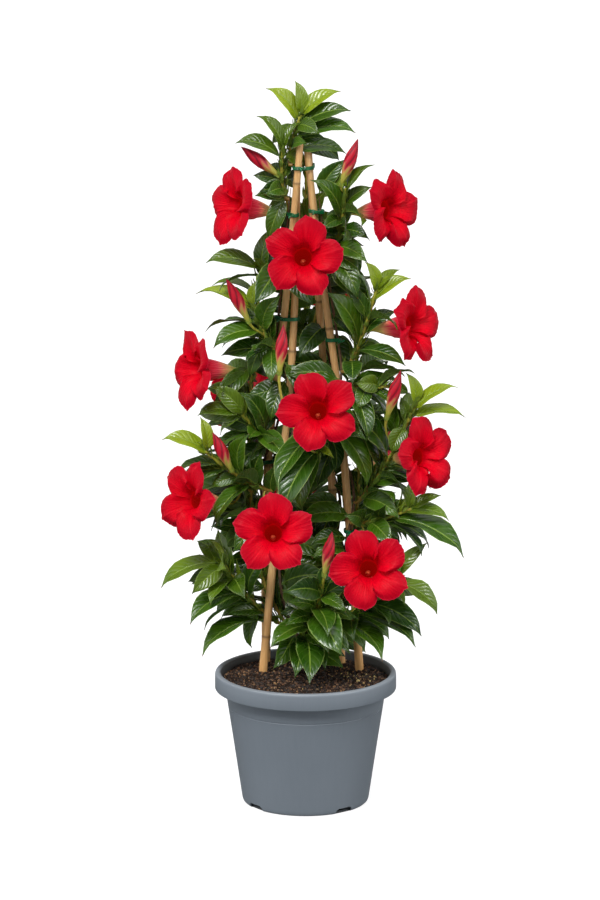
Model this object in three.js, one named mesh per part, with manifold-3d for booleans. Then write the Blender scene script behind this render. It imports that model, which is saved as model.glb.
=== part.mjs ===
// A potted mandevilla: a climbing plant with red funnel blooms, tied to a pyramid of four bamboo canes.
// Units are millimetres, +Z is up and the front of the plant faces -Y.
// The origin is the middle of the pot's foot, on the surface that the pot stands on.
import * as THREE from 'three';
import { mergeVertices } from 'three/addons/utils/BufferGeometryUtils.js';
import Module from 'manifold-3d';

const wasm = await Module();
wasm.setup();

// ---------------------------------------------------------------- driving dimensions

const GAP = 0.35;                 // clearance between neighbouring pieces
const FRONT = new THREE.Vector3(0, -0.975, 0.223);   // the plant's show side, seen from a little above
const UP = new THREE.Vector3(0, 0, 1);
const AXIS = new THREE.Vector2(0, 15);               // the plant's own upright axis in the pot

const POT = { height: 155, rimRadius: 105, footRadius: 69, columns: 32 };
const NOTCH = { count: 4, firstAngle: 37.5, width: 17, height: 6, depth: 18 };
const SOIL = { level: 143, bottom: 5, columns: 24, relief: 1.6 };
const CANE = { footRadius: 4.9, topRadius: 3.8, footHeight: 85, sides: 8 };
const VINE = { radius: 1.9, slack: 1.6, sides: 4, climbFrom: 280, turns: 1.5, climbTo: 520, step: 30 };
const CROWN = { x: 0, y: 25, radius: 6, bottom: 60, top: 152, sides: 7 };
const TIE = { thickness: 1.6, height: 3.6, slack: 0.9, corners: 10 };
const STEM = { radius: 1.7, tipRadius: 1.1, sides: 4 };
const LEAF = { thickness: 1.4, fold: 0.22, arch: 0.13, aspect: 0.4, sunk: 0.8 };
const BLOOM = { radius: 47, length: 64, mouth: 14, skin: 1.0 };
const BUD = { radius: 7.4 };

// Cane centre lines, from the soil to the tied top.
const CANES = {
  rear_left: [[-46, 59, 143], [-47, 55, 250], [-46, 49, 350], [-41, 40, 425], [-23, 21, 582], [-6, 6, 771]],
  front_left: [[-50, 15, 143], [-39, 17, 266], [-17, 21, 495], [-12, 24, 590], [-9, 28, 766]],
  front_right: [[63, 26, 143], [57, 25, 232], [46, 24, 379], [36, 22, 494], [21, 19, 596], [1, 17, 762]],
  rear_right: [[42, 58, 143], [33, 53, 330], [18, 45, 540], [3, 30, 764]],
};

// Half width of the foliage at a few heights.
const PROFILE = [
  [150, 90], [220, 125], [290, 160], [360, 150], [475, 122], [590, 98], [705, 66], [800, 38],
];

// Ties: height, the canes that they hold, and the side where the knot sits, in degrees.
const TIES = {
  tie_top: [742, ['rear_left', 'front_left', 'front_right', 'rear_right'], -60],
  tie_upper_left: [688, ['rear_left'], -100],
  tie_upper_right: [691, ['front_right'], -80],
  tie_middle_left: [566, ['rear_left', 'front_left'], -110],
  tie_middle_right: [541, ['front_right'], -70],
  tie_lower_left: [394, ['rear_left'], -120],
  tie_lower_right: [316, ['front_right'], -80],
};

// Blooms: middle of the mouth, the way it faces, and the clockwise turn of the first petal in degrees.
const BLOOMS = [
  { mouth: [-78, 2, 699], faces: [-0.83, -0.5, 0.2], turn: -21 },
  { mouth: [95, 0, 696], faces: [0.78, -0.6, 0.18], turn: 18 },
  { mouth: [-3, -48, 650], faces: [0, -0.97, 0.2], turn: 9 },
  { mouth: [121, -8, 563], faces: [0.83, -0.53, 0.18], turn: 12 },
  { mouth: [-124, 4, 510], faces: [-0.87, -0.47, 0.12], turn: 38 },
  { mouth: [14, -72, 478], faces: [0, -0.97, 0.24], turn: -24 },
  { mouth: [133, -22, 414], faces: [0.68, -0.7, 0.2], turn: -10 },
  { mouth: [-131, -28, 364], faces: [-0.72, -0.66, 0.2], turn: 13 },
  { mouth: [-37, -85, 339], faces: [0, -0.97, 0.24], turn: -2 },
  { mouth: [72, -80, 296], faces: [0.05, -0.97, 0.22], turn: -23 },
  { mouth: [22, 124, 596], faces: [0.1, 0.95, 0.25], turn: 12 },
  { mouth: [-70, 132, 448], faces: [-0.42, 0.86, 0.22], turn: -15 },
  { mouth: [95, 118, 390], faces: [0.62, 0.74, 0.25], turn: 30 },
  { mouth: [-20, 148, 305], faces: [-0.1, 0.96, 0.24], turn: 5 },
];

// Buds: from the green base to the red tip.
const BUDS = [
  { base: [-30, 10, 733], tip: [-73, 0, 768] },
  { base: [40, 5, 722], tip: [59, 0, 777] },
  { base: [-64, 0, 565], tip: [-90, -10, 618] },
  { base: [-30, -38, 513], tip: [-25, -40, 571] },
  { base: [92, -15, 456], tip: [108, -25, 515] },
  { base: [-84, -20, 396], tip: [-106, -30, 444] },
  { base: [21, -75, 286], tip: [30, -80, 340] },
];

// Shoots. vine and height say where the side stem leaves a climbing stem, to is where its tip ends, and
// young is the share of the stem after which it is soft and yellow-green. blooms and buds are [number,
// share of the stem where the stalk leaves]. A leaf is [share of the stem, tip x, y, z, width seen from
// the front]. fill is the number of further leaves, set round the stem by rule.
const SHOOTS = {
  crown: {
    vine: 'rear_left', height: 700, to: [-5, 18, 803], young: 0.86, fill: 0,
    leaves: [[0.88, -45, 5, 835, 20], [0.97, -12, 22, 841, 15], [0.95, 35, 18, 837, 18],
      [0.75, 52, 5, 811, 20], [0.6, 58, 0, 787, 20]],
  },
  top_left: {
    vine: 'rear_left', height: 660, to: [-26, 8, 762], fill: 1, blooms: [[1, 0.02]], buds: [[1, 0.55]],
    leaves: [[1, -55, 0, 805, 15], [0.98, -20, 10, 800, 10], [0.88, -80, -10, 776, 17],
      [0.45, -60, 10, 733, 15], [0.55, -40, 25, 745, 15], [0.2, -52, -5, 718, 23],
      [0.05, -43, 5, 660, 21]],
  },
  top_right: {
    vine: 'front_right', height: 640, to: [45, 5, 720], fill: 2, blooms: [[2, 0.35]], buds: [[2, 0.93]],
    leaves: [[0.86, 78, 0, 749, 11], [0.78, 75, 5, 722, 14], [0.5, 55, 20, 705, 17],
      [0.6, 14, -12, 741, 20], [0.95, 16, 20, 744, 17], [0.2, 70, -25, 640, 22],
      [0.42, 75, 30, 655, 10], [0.03, 60, -15, 596, 25], [0.1, 40, 42, 658, 18]],
  },
  upper_right: {
    vine: 'front_right', height: 500, to: [80, 0, 604], young: 0.8, fill: 2, blooms: [[4, 0.35]],
    leaves: [[0.97, 68, -8, 638, 13], [0.98, 104, 10, 630, 11], [0.88, 120, -5, 619, 15],
      [0.66, 52, -12, 628, 13], [0.56, 105, 15, 576, 16], [0.36, 115, -15, 519, 16],
      [0.22, 53, -30, 501, 23], [0.4, 24, -20, 606, 23], [0.42, 86, 25, 526, 14]],
  },
  upper_left: {
    vine: 'front_left', height: 510, to: [-59, 9, 583], young: 0.8, fill: 2, blooms: [[5, 0.1]],
    buds: [[3, 0.5]],
    leaves: [[0.9, -129, 12, 597, 16], [0.98, -57, 10, 612, 14], [0.63, -107, -10, 539, 20],
      [0.6, -28, -16, 600, 23], [0.15, -97, 15, 515, 21], [0.3, -40, -22, 499, 20]],
  },
  left_high: {
    vine: 'rear_left', height: 600, to: [-50, 8, 625], fill: 2,
    leaves: [[0.98, -115, 0, 637, 18], [0.9, -50, -20, 600, 16], [0.75, -38, 10, 675, 19],
      [0.5, -50, 32, 655, 18]],
  },
  left_middle: {
    vine: 'rear_left', height: 462, to: [-73, -5, 461], fill: 3,
    leaves: [[0.35, -80, 0, 470, 17], [0.97, -125, -5, 459, 16], [0.55, -60, -25, 436, 20],
      [0.95, -99, 10, 431, 11], [0.3, -73, -15, 489, 21], [0.4, -33, -32, 455, 21],
      [0.5, -22, -38, 414, 23]],
  },
  right_middle: {
    vine: 'front_right', height: 445, to: [94, -3, 492], fill: 3,
    leaves: [[0.97, 118, 5, 481, 13], [0.6, 58, -26, 471, 20], [0.85, 56, -20, 499, 21],
      [0.5, 99, -20, 466, 15], [0.2, 78, -30, 434, 21]],
  },
  mid_right: {
    vine: 'front_right', height: 365, to: [126, -10, 473], young: 0.8, fill: 3, blooms: [[7, 0.25]],
    buds: [[5, 0.6]],
    leaves: [[0.98, 115, -15, 511, 14], [0.94, 175, -5, 494, 16], [0.9, 185, 0, 456, 16],
      [0.7, 106, 15, 486, 13], [0.55, 65, -12, 481, 18], [0.4, 54, -18, 466, 21],
      [0.28, 121, 0, 380, 17], [0.08, 108, -22, 341, 24], [0.15, 80, 15, 350, 20]],
  },
  mid_left: {
    vine: 'front_left', height: 330, to: [-115, -20, 420], young: 0.82, fill: 3,
    blooms: [[8, 0.35], [9, 0.03]], buds: [[6, 0.6]],
    leaves: [[0.92, -165, -20, 436, 17], [0.97, -120, -15, 460, 15], [0.72, -150, 5, 390, 11],
      [0.5, -110, -5, 374, 15], [0.3, -112, -35, 339, 14], [0.12, -144, 10, 311, 23],
      [0.45, -66, -25, 441, 20], [0.2, -50, -12, 416, 21]],
  },
  centre: {
    vine: 'front_right', height: 420, to: [16, -34, 424], fill: 3, blooms: [[6, 0.3]], buds: [[4, 0.95]],
    leaves: [[0.5, -36, -64, 386, 28], [0.7, -5, -38, 396, 21], [0.97, 3, -40, 351, 22],
      [0.4, 45, -32, 367, 22], [0.8, -16, -28, 441, 21], [0.95, -22, -48, 346, 23]],
  },
  low_right: {
    vine: 'front_right', height: 282, to: [121, -12, 350], fill: 3, blooms: [[10, 0.12]],
    leaves: [[0.96, 108, -20, 379, 10], [0.98, 118, -5, 381, 13], [0.99, 156, -10, 366, 13],
      [0.86, 166, -20, 340, 13], [0.55, 91, -34, 364, 17], [0.63, 186, -30, 299, 22],
      [0.48, 146, 15, 296, 18], [0.35, 99, -38, 314, 24], [0.22, 45, -32, 346, 22]],
  },
  foot_right: {
    vine: 'front_right', height: 205, to: [102, -10, 267], fill: 3,
    leaves: [[0.08, 90, -62, 186, 26], [0.3, 126, -35, 181, 17], [0.6, 136, -25, 204, 23],
      [0.97, 154, -15, 226, 17], [0.65, 109, 12, 214, 14], [0.4, 54, -52, 205, 22],
      [0.22, 70, 5, 177, 18]],
  },
  foot_left: {
    vine: 'rear_left', height: 195, via: [-66, 30, 222], to: [-96, -10, 288], fill: 3,
    leaves: [[0.98, -169, -5, 256, 15], [0.95, -131, -32, 254, 22], [0.9, -115, 10, 305, 16],
      [0.63, -134, -32, 219, 20], [0.6, -105, 15, 221, 14], [0.32, -91, 10, 220, 14],
      [0.23, -105, -35, 176, 22], [0.8, -70, -52, 255, 24], [0.4, -64, 22, 174, 15],
      [0.55, -44, -22, 291, 21]],
  },
  foot_centre: {
    vine: 'front_left', height: 182, to: [20, -58, 270], fill: 2, buds: [[7, 0.95]],
    leaves: [[0.7, 41, -96, 199, 38], [0.25, 5, -78, 161, 32], [0.3, 20, -32, 180, 18],
      [0.45, -41, -62, 200, 22], [0.88, 46, -76, 245, 15], [0.5, -10, -42, 260, 22],
      [0.92, 40, -60, 301, 18], [0.72, -20, -70, 255, 20]],
  },
};

// Long climbing shoots up the rear of the plant: compass angle, and the heights between which they run.
const CLIMBERS = {
  rear_east: { angle: 22, from: 190, to: 655, pairs: 6, blooms: [[13, 0.4]] },
  rear_middle: { angle: 90, from: 175, to: 735, pairs: 8, blooms: [[14, 0.22], [11, 0.7], [3, 0.76]] },
  rear_west: { angle: 165, from: 200, to: 640, pairs: 6, blooms: [[12, 0.62]] },
};

// Short side shoots at the rear, thrown out from the two rear canes.
const SIDE_SHOOTS = {
  rear_low_left: { vine: 'rear_left', height: 300, to: [-78, 112, 330], fill: 12 },
  rear_low_right: { vine: 'rear_right', height: 290, to: [80, 110, 310], fill: 12 },
};

// ---------------------------------------------------------------- small helpers

const vec = (p) => new THREE.Vector3(p[0], p[1], p[2]);

// A repeatable stream of numbers between 0 and 1.
function seededStream(seed) {
  let state = seed;
  return () => {
    state = (state * 16807) % 2147483647;
    return state / 2147483647;
  };
}

// Reads y at x from a list of [x, y] with straight lines between them.
function readOff(table, x) {
  const last = table.length - 1;
  if (x <= table[0][0]) return table[0][1];
  if (x >= table[last][0]) return table[last][1];
  const i = table.findIndex((row) => row[0] > x);
  const [x0, y0] = table[i - 1];
  const [x1, y1] = table[i];
  return y0 + (y1 - y0) * (x - x0) / (x1 - x0);
}

// ---------------------------------------------------------------- solids

function bodyFrom(vertices, triangles) {
  return new wasm.Manifold(new wasm.Mesh({
    numProp: 3,
    vertProperties: new Float32Array(vertices),
    triVerts: new Uint32Array(triangles),
  }));
}

// Turns a closed three.js geometry into a solid, and turns it right side out if its faces point in.
function bodyOf(geometry) {
  const bare = geometry.clone();
  bare.deleteAttribute('normal');
  bare.deleteAttribute('uv');
  const merged = mergeVertices(bare, 1e-3);
  const index = merged.index.array;
  const triangles = [];
  for (let i = 0; i < index.length; i += 3) {
    const [a, b, c] = [index[i], index[i + 1], index[i + 2]];
    if (a !== b && b !== c && c !== a) triangles.push(a, b, c);
  }
  const body = bodyFrom(merged.attributes.position.array, triangles);
  if (body.volume() > 0) return body;
  return bodyFrom(merged.attributes.position.array, triangles.reverse());
}

// Skins a row of rings. Each ring goes anticlockwise seen against the row's direction; a ring of one point
// is a pole, and a ring may have twice the points of its neighbour. mirrored lists the sides of a ring
// whose squares are split the other way.
function skin(rings, { closed = false, mirrored = [] } = {}) {
  const vertices = [];
  const triangles = [];
  const starts = rings.map((ring) => {
    const start = vertices.length / 3;
    ring.forEach((p) => vertices.push(p.x, p.y, p.z));
    return start;
  });
  const bands = closed ? rings.length : rings.length - 1;
  for (let r = 0; r < bands; r += 1) {
    const next = (r + 1) % rings.length;
    const [na, nb] = [rings[r].length, rings[next].length];
    const count = Math.max(na, nb);
    for (let k = 0; k < count; k += 1) {
      const step = (k + 1) % count;
      const a0 = starts[r] + Math.floor(k * na / count);
      const a1 = starts[r] + Math.floor(step * na / count);
      const b0 = starts[next] + Math.floor(k * nb / count);
      const b1 = starts[next] + Math.floor(step * nb / count);
      const square = mirrored.includes(k) ? [[a0, a1, b1], [a0, b1, b0]] : [[a0, a1, b0], [a1, b1, b0]];
      square.filter(([p, q, s]) => p !== q && q !== s && s !== p).forEach((t) => triangles.push(...t));
    }
  }
  const lastStart = starts[starts.length - 1];
  for (let k = 1; !closed && k < rings[0].length - 1; k += 1) {
    triangles.push(starts[0], starts[0] + k + 1, starts[0] + k);
  }
  for (let k = 1; !closed && k < rings[rings.length - 1].length - 1; k += 1) {
    triangles.push(lastStart, lastStart + k, lastStart + k + 1);
  }
  return bodyFrom(vertices, triangles);
}

// A flat ring round an upright centre line.
function levelRing(centre, radius, sides) {
  return Array.from({ length: sides }, (_, k) => {
    const angle = 2 * Math.PI * k / sides;
    return centre.clone().add(new THREE.Vector3(radius * Math.cos(angle), radius * Math.sin(angle), 0));
  });
}

// Rings square to a curve, kept from twisting by one steady side direction.
function tubeBody(points, radii, sides) {
  const run = points[points.length - 1].clone().sub(points[0]);
  const steady = Math.abs(run.z) > 0.7 * run.length() ? new THREE.Vector3(1, 0, 0) : UP;
  const rings = points.map((point, i) => {
    const before = points[Math.max(0, i - 1)];
    const after = points[Math.min(points.length - 1, i + 1)];
    const along = after.clone().sub(before).normalize();
    const across = steady.clone().cross(along).normalize();
    const other = along.clone().cross(across);
    return Array.from({ length: sides }, (_, k) => {
      const angle = 2 * Math.PI * k / sides;
      return point.clone().addScaledVector(across, radii[i] * Math.cos(angle))
        .addScaledVector(other, radii[i] * Math.sin(angle));
    });
  });
  return skin(rings);
}

// ---------------------------------------------------------------- the plant's nodes and their clearances

const nodes = new Map();
const placed = [];

function boxOf(body) {
  const { min, max } = body.boundingBox();
  return new THREE.Box3(vec(min), vec(max));
}

function keep(owner, body, material) {
  if (!nodes.has(owner)) nodes.set(owner, { bodies: [], material });
  nodes.get(owner).bodies.push(body);
  placed.push({ owner, body, box: boxOf(body).expandByScalar(GAP) });
}

// Whether a body keeps its clearance from everything that is placed in other nodes.
function isClear(body, owner) {
  const box = boxOf(body);
  return !placed.some((other) => other.owner !== owner && other.box.intersectsBox(box)
    && body.minGap(other.body, 2 * GAP) < GAP);
}

// ---------------------------------------------------------------- pot and soil

const inks = {
  pot: [0x66707b, 0.55],
  soil: [0x2e2119, 1],
  cane: [0xc99a63, 0.6],
  tie: [0x0d5a38, 0.5],
  wood: [0x4a3524, 0.8],
  leaf: [0x23521f, 0.35],
  young: [0x83a626, 0.45],
  petal: [0xd50f20, 0.5],
  bud: [0xb3122c, 0.45],
};
const paint = Object.fromEntries(Object.entries(inks).map(([name, [color, roughness]]) => [
  name, new THREE.MeshStandardMaterial({ color, roughness, metalness: 0 }),
]));

// Outline of the pot: foot, wall with its moulded step, rim skirt, rounded lip, inner wall and floor.
const POT_OUTLINE = [
  [0, 0], [POT.footRadius, 0], [72.4, 1.8], [73.6, 5.5], [89.9, 115.4], [90.6, 116.4], [93, 134],
  [98.6, 148.5], [101.6, 148.5], [102.4, 135.5], [104.4, 135.5], [POT.rimRadius, 137.5], [104.6, 151],
  [102.6, 154.2], [100, POT.height], [98.2, 153], [90.8, 133.5], [71.6, 6], [68, 3], [0, 3],
];

function makePot() {
  const outline = POT_OUTLINE.map(([radius, height]) => new THREE.Vector2(radius, height));
  let pot = bodyOf(new THREE.LatheGeometry(outline, POT.columns).rotateX(Math.PI / 2));
  for (let k = 0; k < NOTCH.count; k += 1) {
    const angle = THREE.MathUtils.degToRad(NOTCH.firstAngle - 90 + k * 360 / NOTCH.count);
    const notch = new THREE.BoxGeometry(NOTCH.depth, NOTCH.width, 2 * NOTCH.height);
    notch.translate(POT.footRadius + 2, 0, 0).rotateZ(angle);
    pot = pot.subtract(bodyOf(notch));
  }
  keep('pot', pot, paint.pot);
}

function caneCentre(cane, height) {
  const line = CANES[cane];
  const x = readOff(line.map((p) => [p[2], p[0]]), height);
  const y = readOff(line.map((p) => [p[2], p[1]]), height);
  if (height >= line[0][2]) return new THREE.Vector3(x, y, height);
  const below = (line[0][2] - height) / (line[1][2] - line[0][2]);
  return new THREE.Vector3(x, y, height)
    .add(new THREE.Vector3(line[0][0] - line[1][0], line[0][1] - line[1][1], 0).multiplyScalar(below));
}

function caneRadius(height) {
  return readOff([[SOIL.level, CANE.footRadius], [770, CANE.topRadius]], height);
}

function caneBody(cane, spare) {
  const heights = [CANE.footHeight - spare, ...CANES[cane].map((p) => p[2])];
  if (spare > 0) heights.splice(3);
  return skin(heights.map((z) => levelRing(caneCentre(cane, z), caneRadius(z) + spare, CANE.sides)));
}

function crownBody(spare) {
  const ends = [CROWN.bottom - spare, CROWN.top].map((z) => new THREE.Vector3(CROWN.x, CROWN.y, z));
  return skin(ends.map((end) => levelRing(end, CROWN.radius + spare, CROWN.sides)));
}

// The soil: a plug a little smaller than the pot's inside, with an uneven top, and plain holes.
function makeSoil() {
  const rows = [
    [68, SOIL.bottom], [70.9, 8], [89.7, 132], [92.4, SOIL.level - 2],
    [80, SOIL.level], [48, SOIL.level], [20, SOIL.level],
  ];
  const rings = rows.map(([radius, height], row) => Array.from({ length: SOIL.columns }, (_, k) => {
    const angle = 2 * Math.PI * k / SOIL.columns;
    const uneven = row > 3 ? SOIL.relief * Math.sin(3 * angle + row) * Math.cos(5 * angle + 2 * row) : 0;
    return new THREE.Vector3(radius * Math.cos(angle), radius * Math.sin(angle), height + uneven);
  }));
  const bottom = new THREE.Vector3(0, 0, SOIL.bottom);
  const top = new THREE.Vector3(0, 0, SOIL.level);
  let soil = skin([[bottom], ...rings, [top]]);
  Object.keys(CANES).forEach((cane) => {
    soil = soil.subtract(caneBody(cane, GAP));
  });
  keep('soil', soil.subtract(crownBody(GAP)), paint.soil);
}

function makeCanes() {
  Object.keys(CANES).forEach((cane) => keep(`cane_${cane}`, caneBody(cane, 0), paint.cane));
}

// ---------------------------------------------------------------- climbing stems and ties

// A climbing stem rises from the crown to its cane and then twines round it.
function vinePoint(cane, height) {
  const centre = caneCentre(cane, height);
  const foot = caneCentre(cane, VINE.climbFrom);
  const start = Math.atan2(CROWN.y - foot.y, CROWN.x - foot.x);
  const climbed = THREE.MathUtils.clamp((height - VINE.climbFrom) / (VINE.climbTo - VINE.climbFrom), 0, 1);
  const angle = start + 2 * Math.PI * VINE.turns * climbed;
  const reach = caneRadius(height) + VINE.radius + VINE.slack;
  const onCane = centre.clone().add(new THREE.Vector3(reach * Math.cos(angle), reach * Math.sin(angle), 0));
  const share = THREE.MathUtils.smoothstep(height, SOIL.level, VINE.climbFrom);
  return new THREE.Vector3(CROWN.x, CROWN.y, height).lerp(onCane, share);
}

const VINE_TOPS = { rear_left: 720, front_left: 515, front_right: 712, rear_right: 640 };

function makeWoodyStems() {
  keep('woody_stems', crownBody(0), paint.wood);
  Object.entries(VINE_TOPS).forEach(([cane, top]) => {
    const count = Math.round((top - SOIL.level) / VINE.step);
    const rings = Array.from({ length: count + 1 }, (_, i) => {
      const height = SOIL.level + (top - SOIL.level) * i / count;
      return levelRing(vinePoint(cane, height), VINE.radius * (1 - 0.3 * i / count), VINE.sides);
    });
    keep('woody_stems', skin(rings), paint.wood);
  });
}

// A tie follows the outline of the canes that it holds; its knot has two short loose ends.
function makeTie(name, height, canes, knotSide) {
  const circles = canes.map((cane) => ({ centre: caneCentre(cane, height), radius: caneRadius(height) }));
  canes.filter((cane) => VINE_TOPS[cane] > height - 5).forEach((cane) => {
    circles.push({ centre: vinePoint(cane, height), radius: VINE.radius + 0.3 });
  });
  const reach = TIE.slack + GAP + TIE.thickness / 2;
  const edge = (angle) => {
    const way = new THREE.Vector3(Math.cos(angle), Math.sin(angle), 0);
    const farOut = ({ centre, radius }) => centre.dot(way) + radius;
    const far = circles.reduce((a, b) => (farOut(a) > farOut(b) ? a : b));
    return { way, point: far.centre.clone().addScaledVector(way, far.radius + reach) };
  };
  const sections = Array.from({ length: TIE.corners }, (_, k) => {
    const { way, point } = edge(2 * Math.PI * k / TIE.corners);
    const outer = TIE.thickness / 2;
    return [[outer, 0], [-outer, TIE.height / 2], [-outer, -TIE.height / 2]]
      .map(([out, rise]) => point.clone().addScaledVector(way, out).addScaledVector(UP, rise));
  });
  const ring = skin(sections.reverse(), { closed: true });
  const { way, point } = edge(THREE.MathUtils.degToRad(knotSide));
  const side = new THREE.Vector3(-way.y, way.x, 0);
  const knotCentre = point.clone().addScaledVector(way, 0.4);
  const wire = [-1, 0, 1].map((sign) => knotCentre.clone()
    .addScaledVector(way, 4.5 * Math.abs(sign))
    .addScaledVector(side, 4 * sign)
    .addScaledVector(UP, 2 * sign));
  const looseEnds = tubeBody(wire, [0.7, 2, 0.7], 4);
  keep(name, ring.add(looseEnds), paint.tie);
}

// ---------------------------------------------------------------- blooms and buds

// A frame with its third axis along a direction and its second as near to upright as it goes.
function frameAlong(direction) {
  const ahead = direction.clone().normalize();
  const hint = Math.abs(ahead.z) > 0.95 ? new THREE.Vector3(0, 1, 0) : UP;
  const up = hint.clone().addScaledVector(ahead, -hint.dot(ahead)).normalize();
  return { ahead, up, right: up.clone().cross(ahead) };
}

// One petal's columns, in degrees from its point: share of the radius, and how far its edge stands forward.
const PETAL = [
  { angle: -45, reach: 0.68, forward: 7 },
  { angle: -22, reach: 0.93, forward: 13 },
  { angle: 0, reach: 1.02, forward: 11 },
  { angle: 15, reach: 0.84, forward: 7 },
];

function bloomBody({ mouth, faces, turn }) {
  const { ahead, up, right } = frameAlong(vec(faces));
  const centre = vec(mouth);
  const at = (angle, radius, forward) => centre.clone().addScaledVector(ahead, forward)
    .addScaledVector(up, radius * Math.cos(angle)).addScaledVector(right, -radius * Math.sin(angle));
  const first = THREE.MathUtils.degToRad(-turn - 36);
  const round = (radius, forward) => Array.from({ length: 10 }, (_, k) => (
    at(first + 2 * Math.PI * k / 10, radius, forward)));
  const petals = (share, lift) => Array.from({ length: 20 }, (_, k) => {
    const column = PETAL[k % 4];
    const angle = first + THREE.MathUtils.degToRad(72 * Math.floor(k / 4) + column.angle + 36);
    const radius = BLOOM.mouth + share * (column.reach * BLOOM.radius - BLOOM.mouth);
    return at(angle, radius, share * column.forward * (0.4 + 0.6 * share) + lift);
  });
  return skin([
    round(2.2, -BLOOM.length), round(3.4, -46), round(9.6, -30), round(BLOOM.mouth + 1, -9),
    petals(0.5, -BLOOM.skin), petals(1, 0), petals(0.5, 0.2), round(BLOOM.mouth - 2, -5), [at(0, 0, -38)],
  ]);
}

function budBody({ base, tip }) {
  const run = vec(tip).sub(vec(base));
  const { ahead, up, right } = frameAlong(run);
  const ring = (share, radius) => Array.from({ length: 6 }, (_, k) => {
    const angle = 2 * Math.PI * k / 6;
    return vec(base).addScaledVector(ahead, share * run.length())
      .addScaledVector(up, radius * Math.cos(angle))
      .addScaledVector(right, -radius * Math.sin(angle));
  });
  return skin([ring(0, 2.3), ring(0.25, 4.4), ring(0.52, BUD.radius), ring(0.76, 5.2), [vec(tip)]]);
}

const bloomBase = ({ mouth, faces }) => vec(mouth).addScaledVector(vec(faces).normalize(), -BLOOM.length);

// ---------------------------------------------------------------- leaves

// Blade outlines after the pointed root: share of the length, and share of the width there.
const FINE_BLADE = [[0.09, 0.12], [0.42, 1], [0.76, 0.7]];
const PLAIN_BLADE = [[0.34, 1], [0.74, 0.75]];

// A thin blade with a folded midrib. Its section has a left edge, a top, a right edge and an underside.
function leafBody({ root, tip, normal, width, outline }, bladeOnly = false) {
  const along = tip.clone().sub(root);
  const length = along.length();
  const ahead = along.clone().normalize();
  const right = normal.clone().cross(ahead).normalize();
  const rise = UP.clone().addScaledVector(ahead, -UP.dot(ahead)).normalize().add(normal).normalize();
  const bow = LEAF.arch * length;
  const section = ([share, wide]) => {
    const middle = root.clone().addScaledVector(along, share)
      .addScaledVector(rise, bow * 4 * share * (1 - share));
    const slope = along.clone().addScaledVector(rise, bow * 4 * (1 - 2 * share)).normalize();
    const up = slope.clone().cross(right).normalize();
    const half = wide * width / 2;
    const edge = (sign) => middle.clone().addScaledVector(right, sign * half)
      .addScaledVector(up, Math.abs(half) * LEAF.fold);
    const face = (sign) => middle.clone().addScaledVector(up, sign * LEAF.thickness / 2);
    return [edge(1), face(1), edge(-1), face(-1)];
  };
  const stations = outline.map(section);
  const sunk = root.clone().addScaledVector(ahead, -LEAF.sunk);
  return skin([...(bladeOnly ? [] : [[sunk]]), ...stations, [tip]], { mirrored: [2, 3] });
}

// Small turns that a leaf may take to stay clear: sideways and up, in degrees.
const BENDS = [
  [0, 0], [0, 9], [9, 0], [-9, 0], [0, -9], [10, 10], [-10, 10], [12, -8], [-12, -8], [0, 20], [20, 0],
  [-20, 0], [22, 14], [-22, 14], [0, -20],
];

function bent(leaf, [sideways, lift]) {
  const run = leaf.tip.clone().sub(leaf.root);
  run.applyAxisAngle(UP, THREE.MathUtils.degToRad(sideways));
  const level = new THREE.Vector3(run.y, -run.x, 0).normalize();
  run.applyAxisAngle(level, THREE.MathUtils.degToRad(lift));
  const normal = leaf.normal.clone().applyAxisAngle(UP, THREE.MathUtils.degToRad(sideways));
  const ahead = run.clone().normalize();
  normal.addScaledVector(ahead, -normal.dot(ahead)).normalize();
  return { ...leaf, tip: leaf.root.clone().add(run), normal };
}

// Grows a leaf with the first bend that clears the other nodes and the blades of its own node. A leaf that
// needn't part from those blades may cross them; a leaf without a fitting bend isn't grown.
function growLeaf(owner, material, leaf, blades, mustPart) {
  let chosen = null;
  for (const bend of BENDS) {
    const body = leafBody(bent(leaf, bend));
    if (isClear(body, owner)) {
      const blade = leafBody(bent(leaf, bend), true);
      const box = boxOf(blade);
      const crosses = (other) => other.box.intersectsBox(box) && blade.minGap(other.blade, 0.2) === 0;
      if (!blades.some(crosses)) {
        chosen = { body, blade, box };
        break;
      }
      if (!mustPart) chosen = chosen ?? { body, blade, box };
    }
  }
  if (!chosen) return;
  blades.push(chosen);
  keep(owner, chosen.body, material);
}

// ---------------------------------------------------------------- shoots

// The height near the wanted one where the climbing stem lies on the side that the shoot leaves to.
function shootStart(vine, height, to) {
  const wayTo = (from) => new THREE.Vector3(to[0] - from.x, to[1] - from.y, 0).normalize();
  if (height < VINE.climbFrom) {
    const point = vinePoint(vine, height);
    return { point, out: wayTo(point) };
  }
  let best = null;
  for (let z = height - 45; z <= height + 45; z += 5) {
    const centre = caneCentre(vine, z);
    const point = vinePoint(vine, z);
    const out = new THREE.Vector3(point.x - centre.x, point.y - centre.y, 0).normalize();
    const match = out.dot(wayTo(centre)) - 0.004 * Math.abs(z - height);
    if (!best || match > best.match) best = { match, point, out };
  }
  return best;
}

function shootCurve(start, out, to, via) {
  const from = start.clone().addScaledVector(out, VINE.radius + STEM.radius + 2 * GAP);
  const run = to.clone().sub(from);
  const middle = via ? vec(via) : from.clone().addScaledVector(run, 0.35).addScaledVector(out, 8)
    .addScaledVector(UP, -0.06 * run.length());
  return new THREE.QuadraticBezierCurve3(from, middle, to);
}

function growStem(owner, curve, from, to, material) {
  const steps = Math.max(2, Math.round((to - from) * curve.getLength() / 28));
  const shares = Array.from({ length: steps + 1 }, (_, i) => from + (to - from) * i / steps);
  const radii = shares.map((share) => THREE.MathUtils.lerp(STEM.radius, STEM.tipRadius, share));
  keep(owner, tubeBody(shares.map((share) => curve.getPoint(share)), radii, STEM.sides), material);
}

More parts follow.
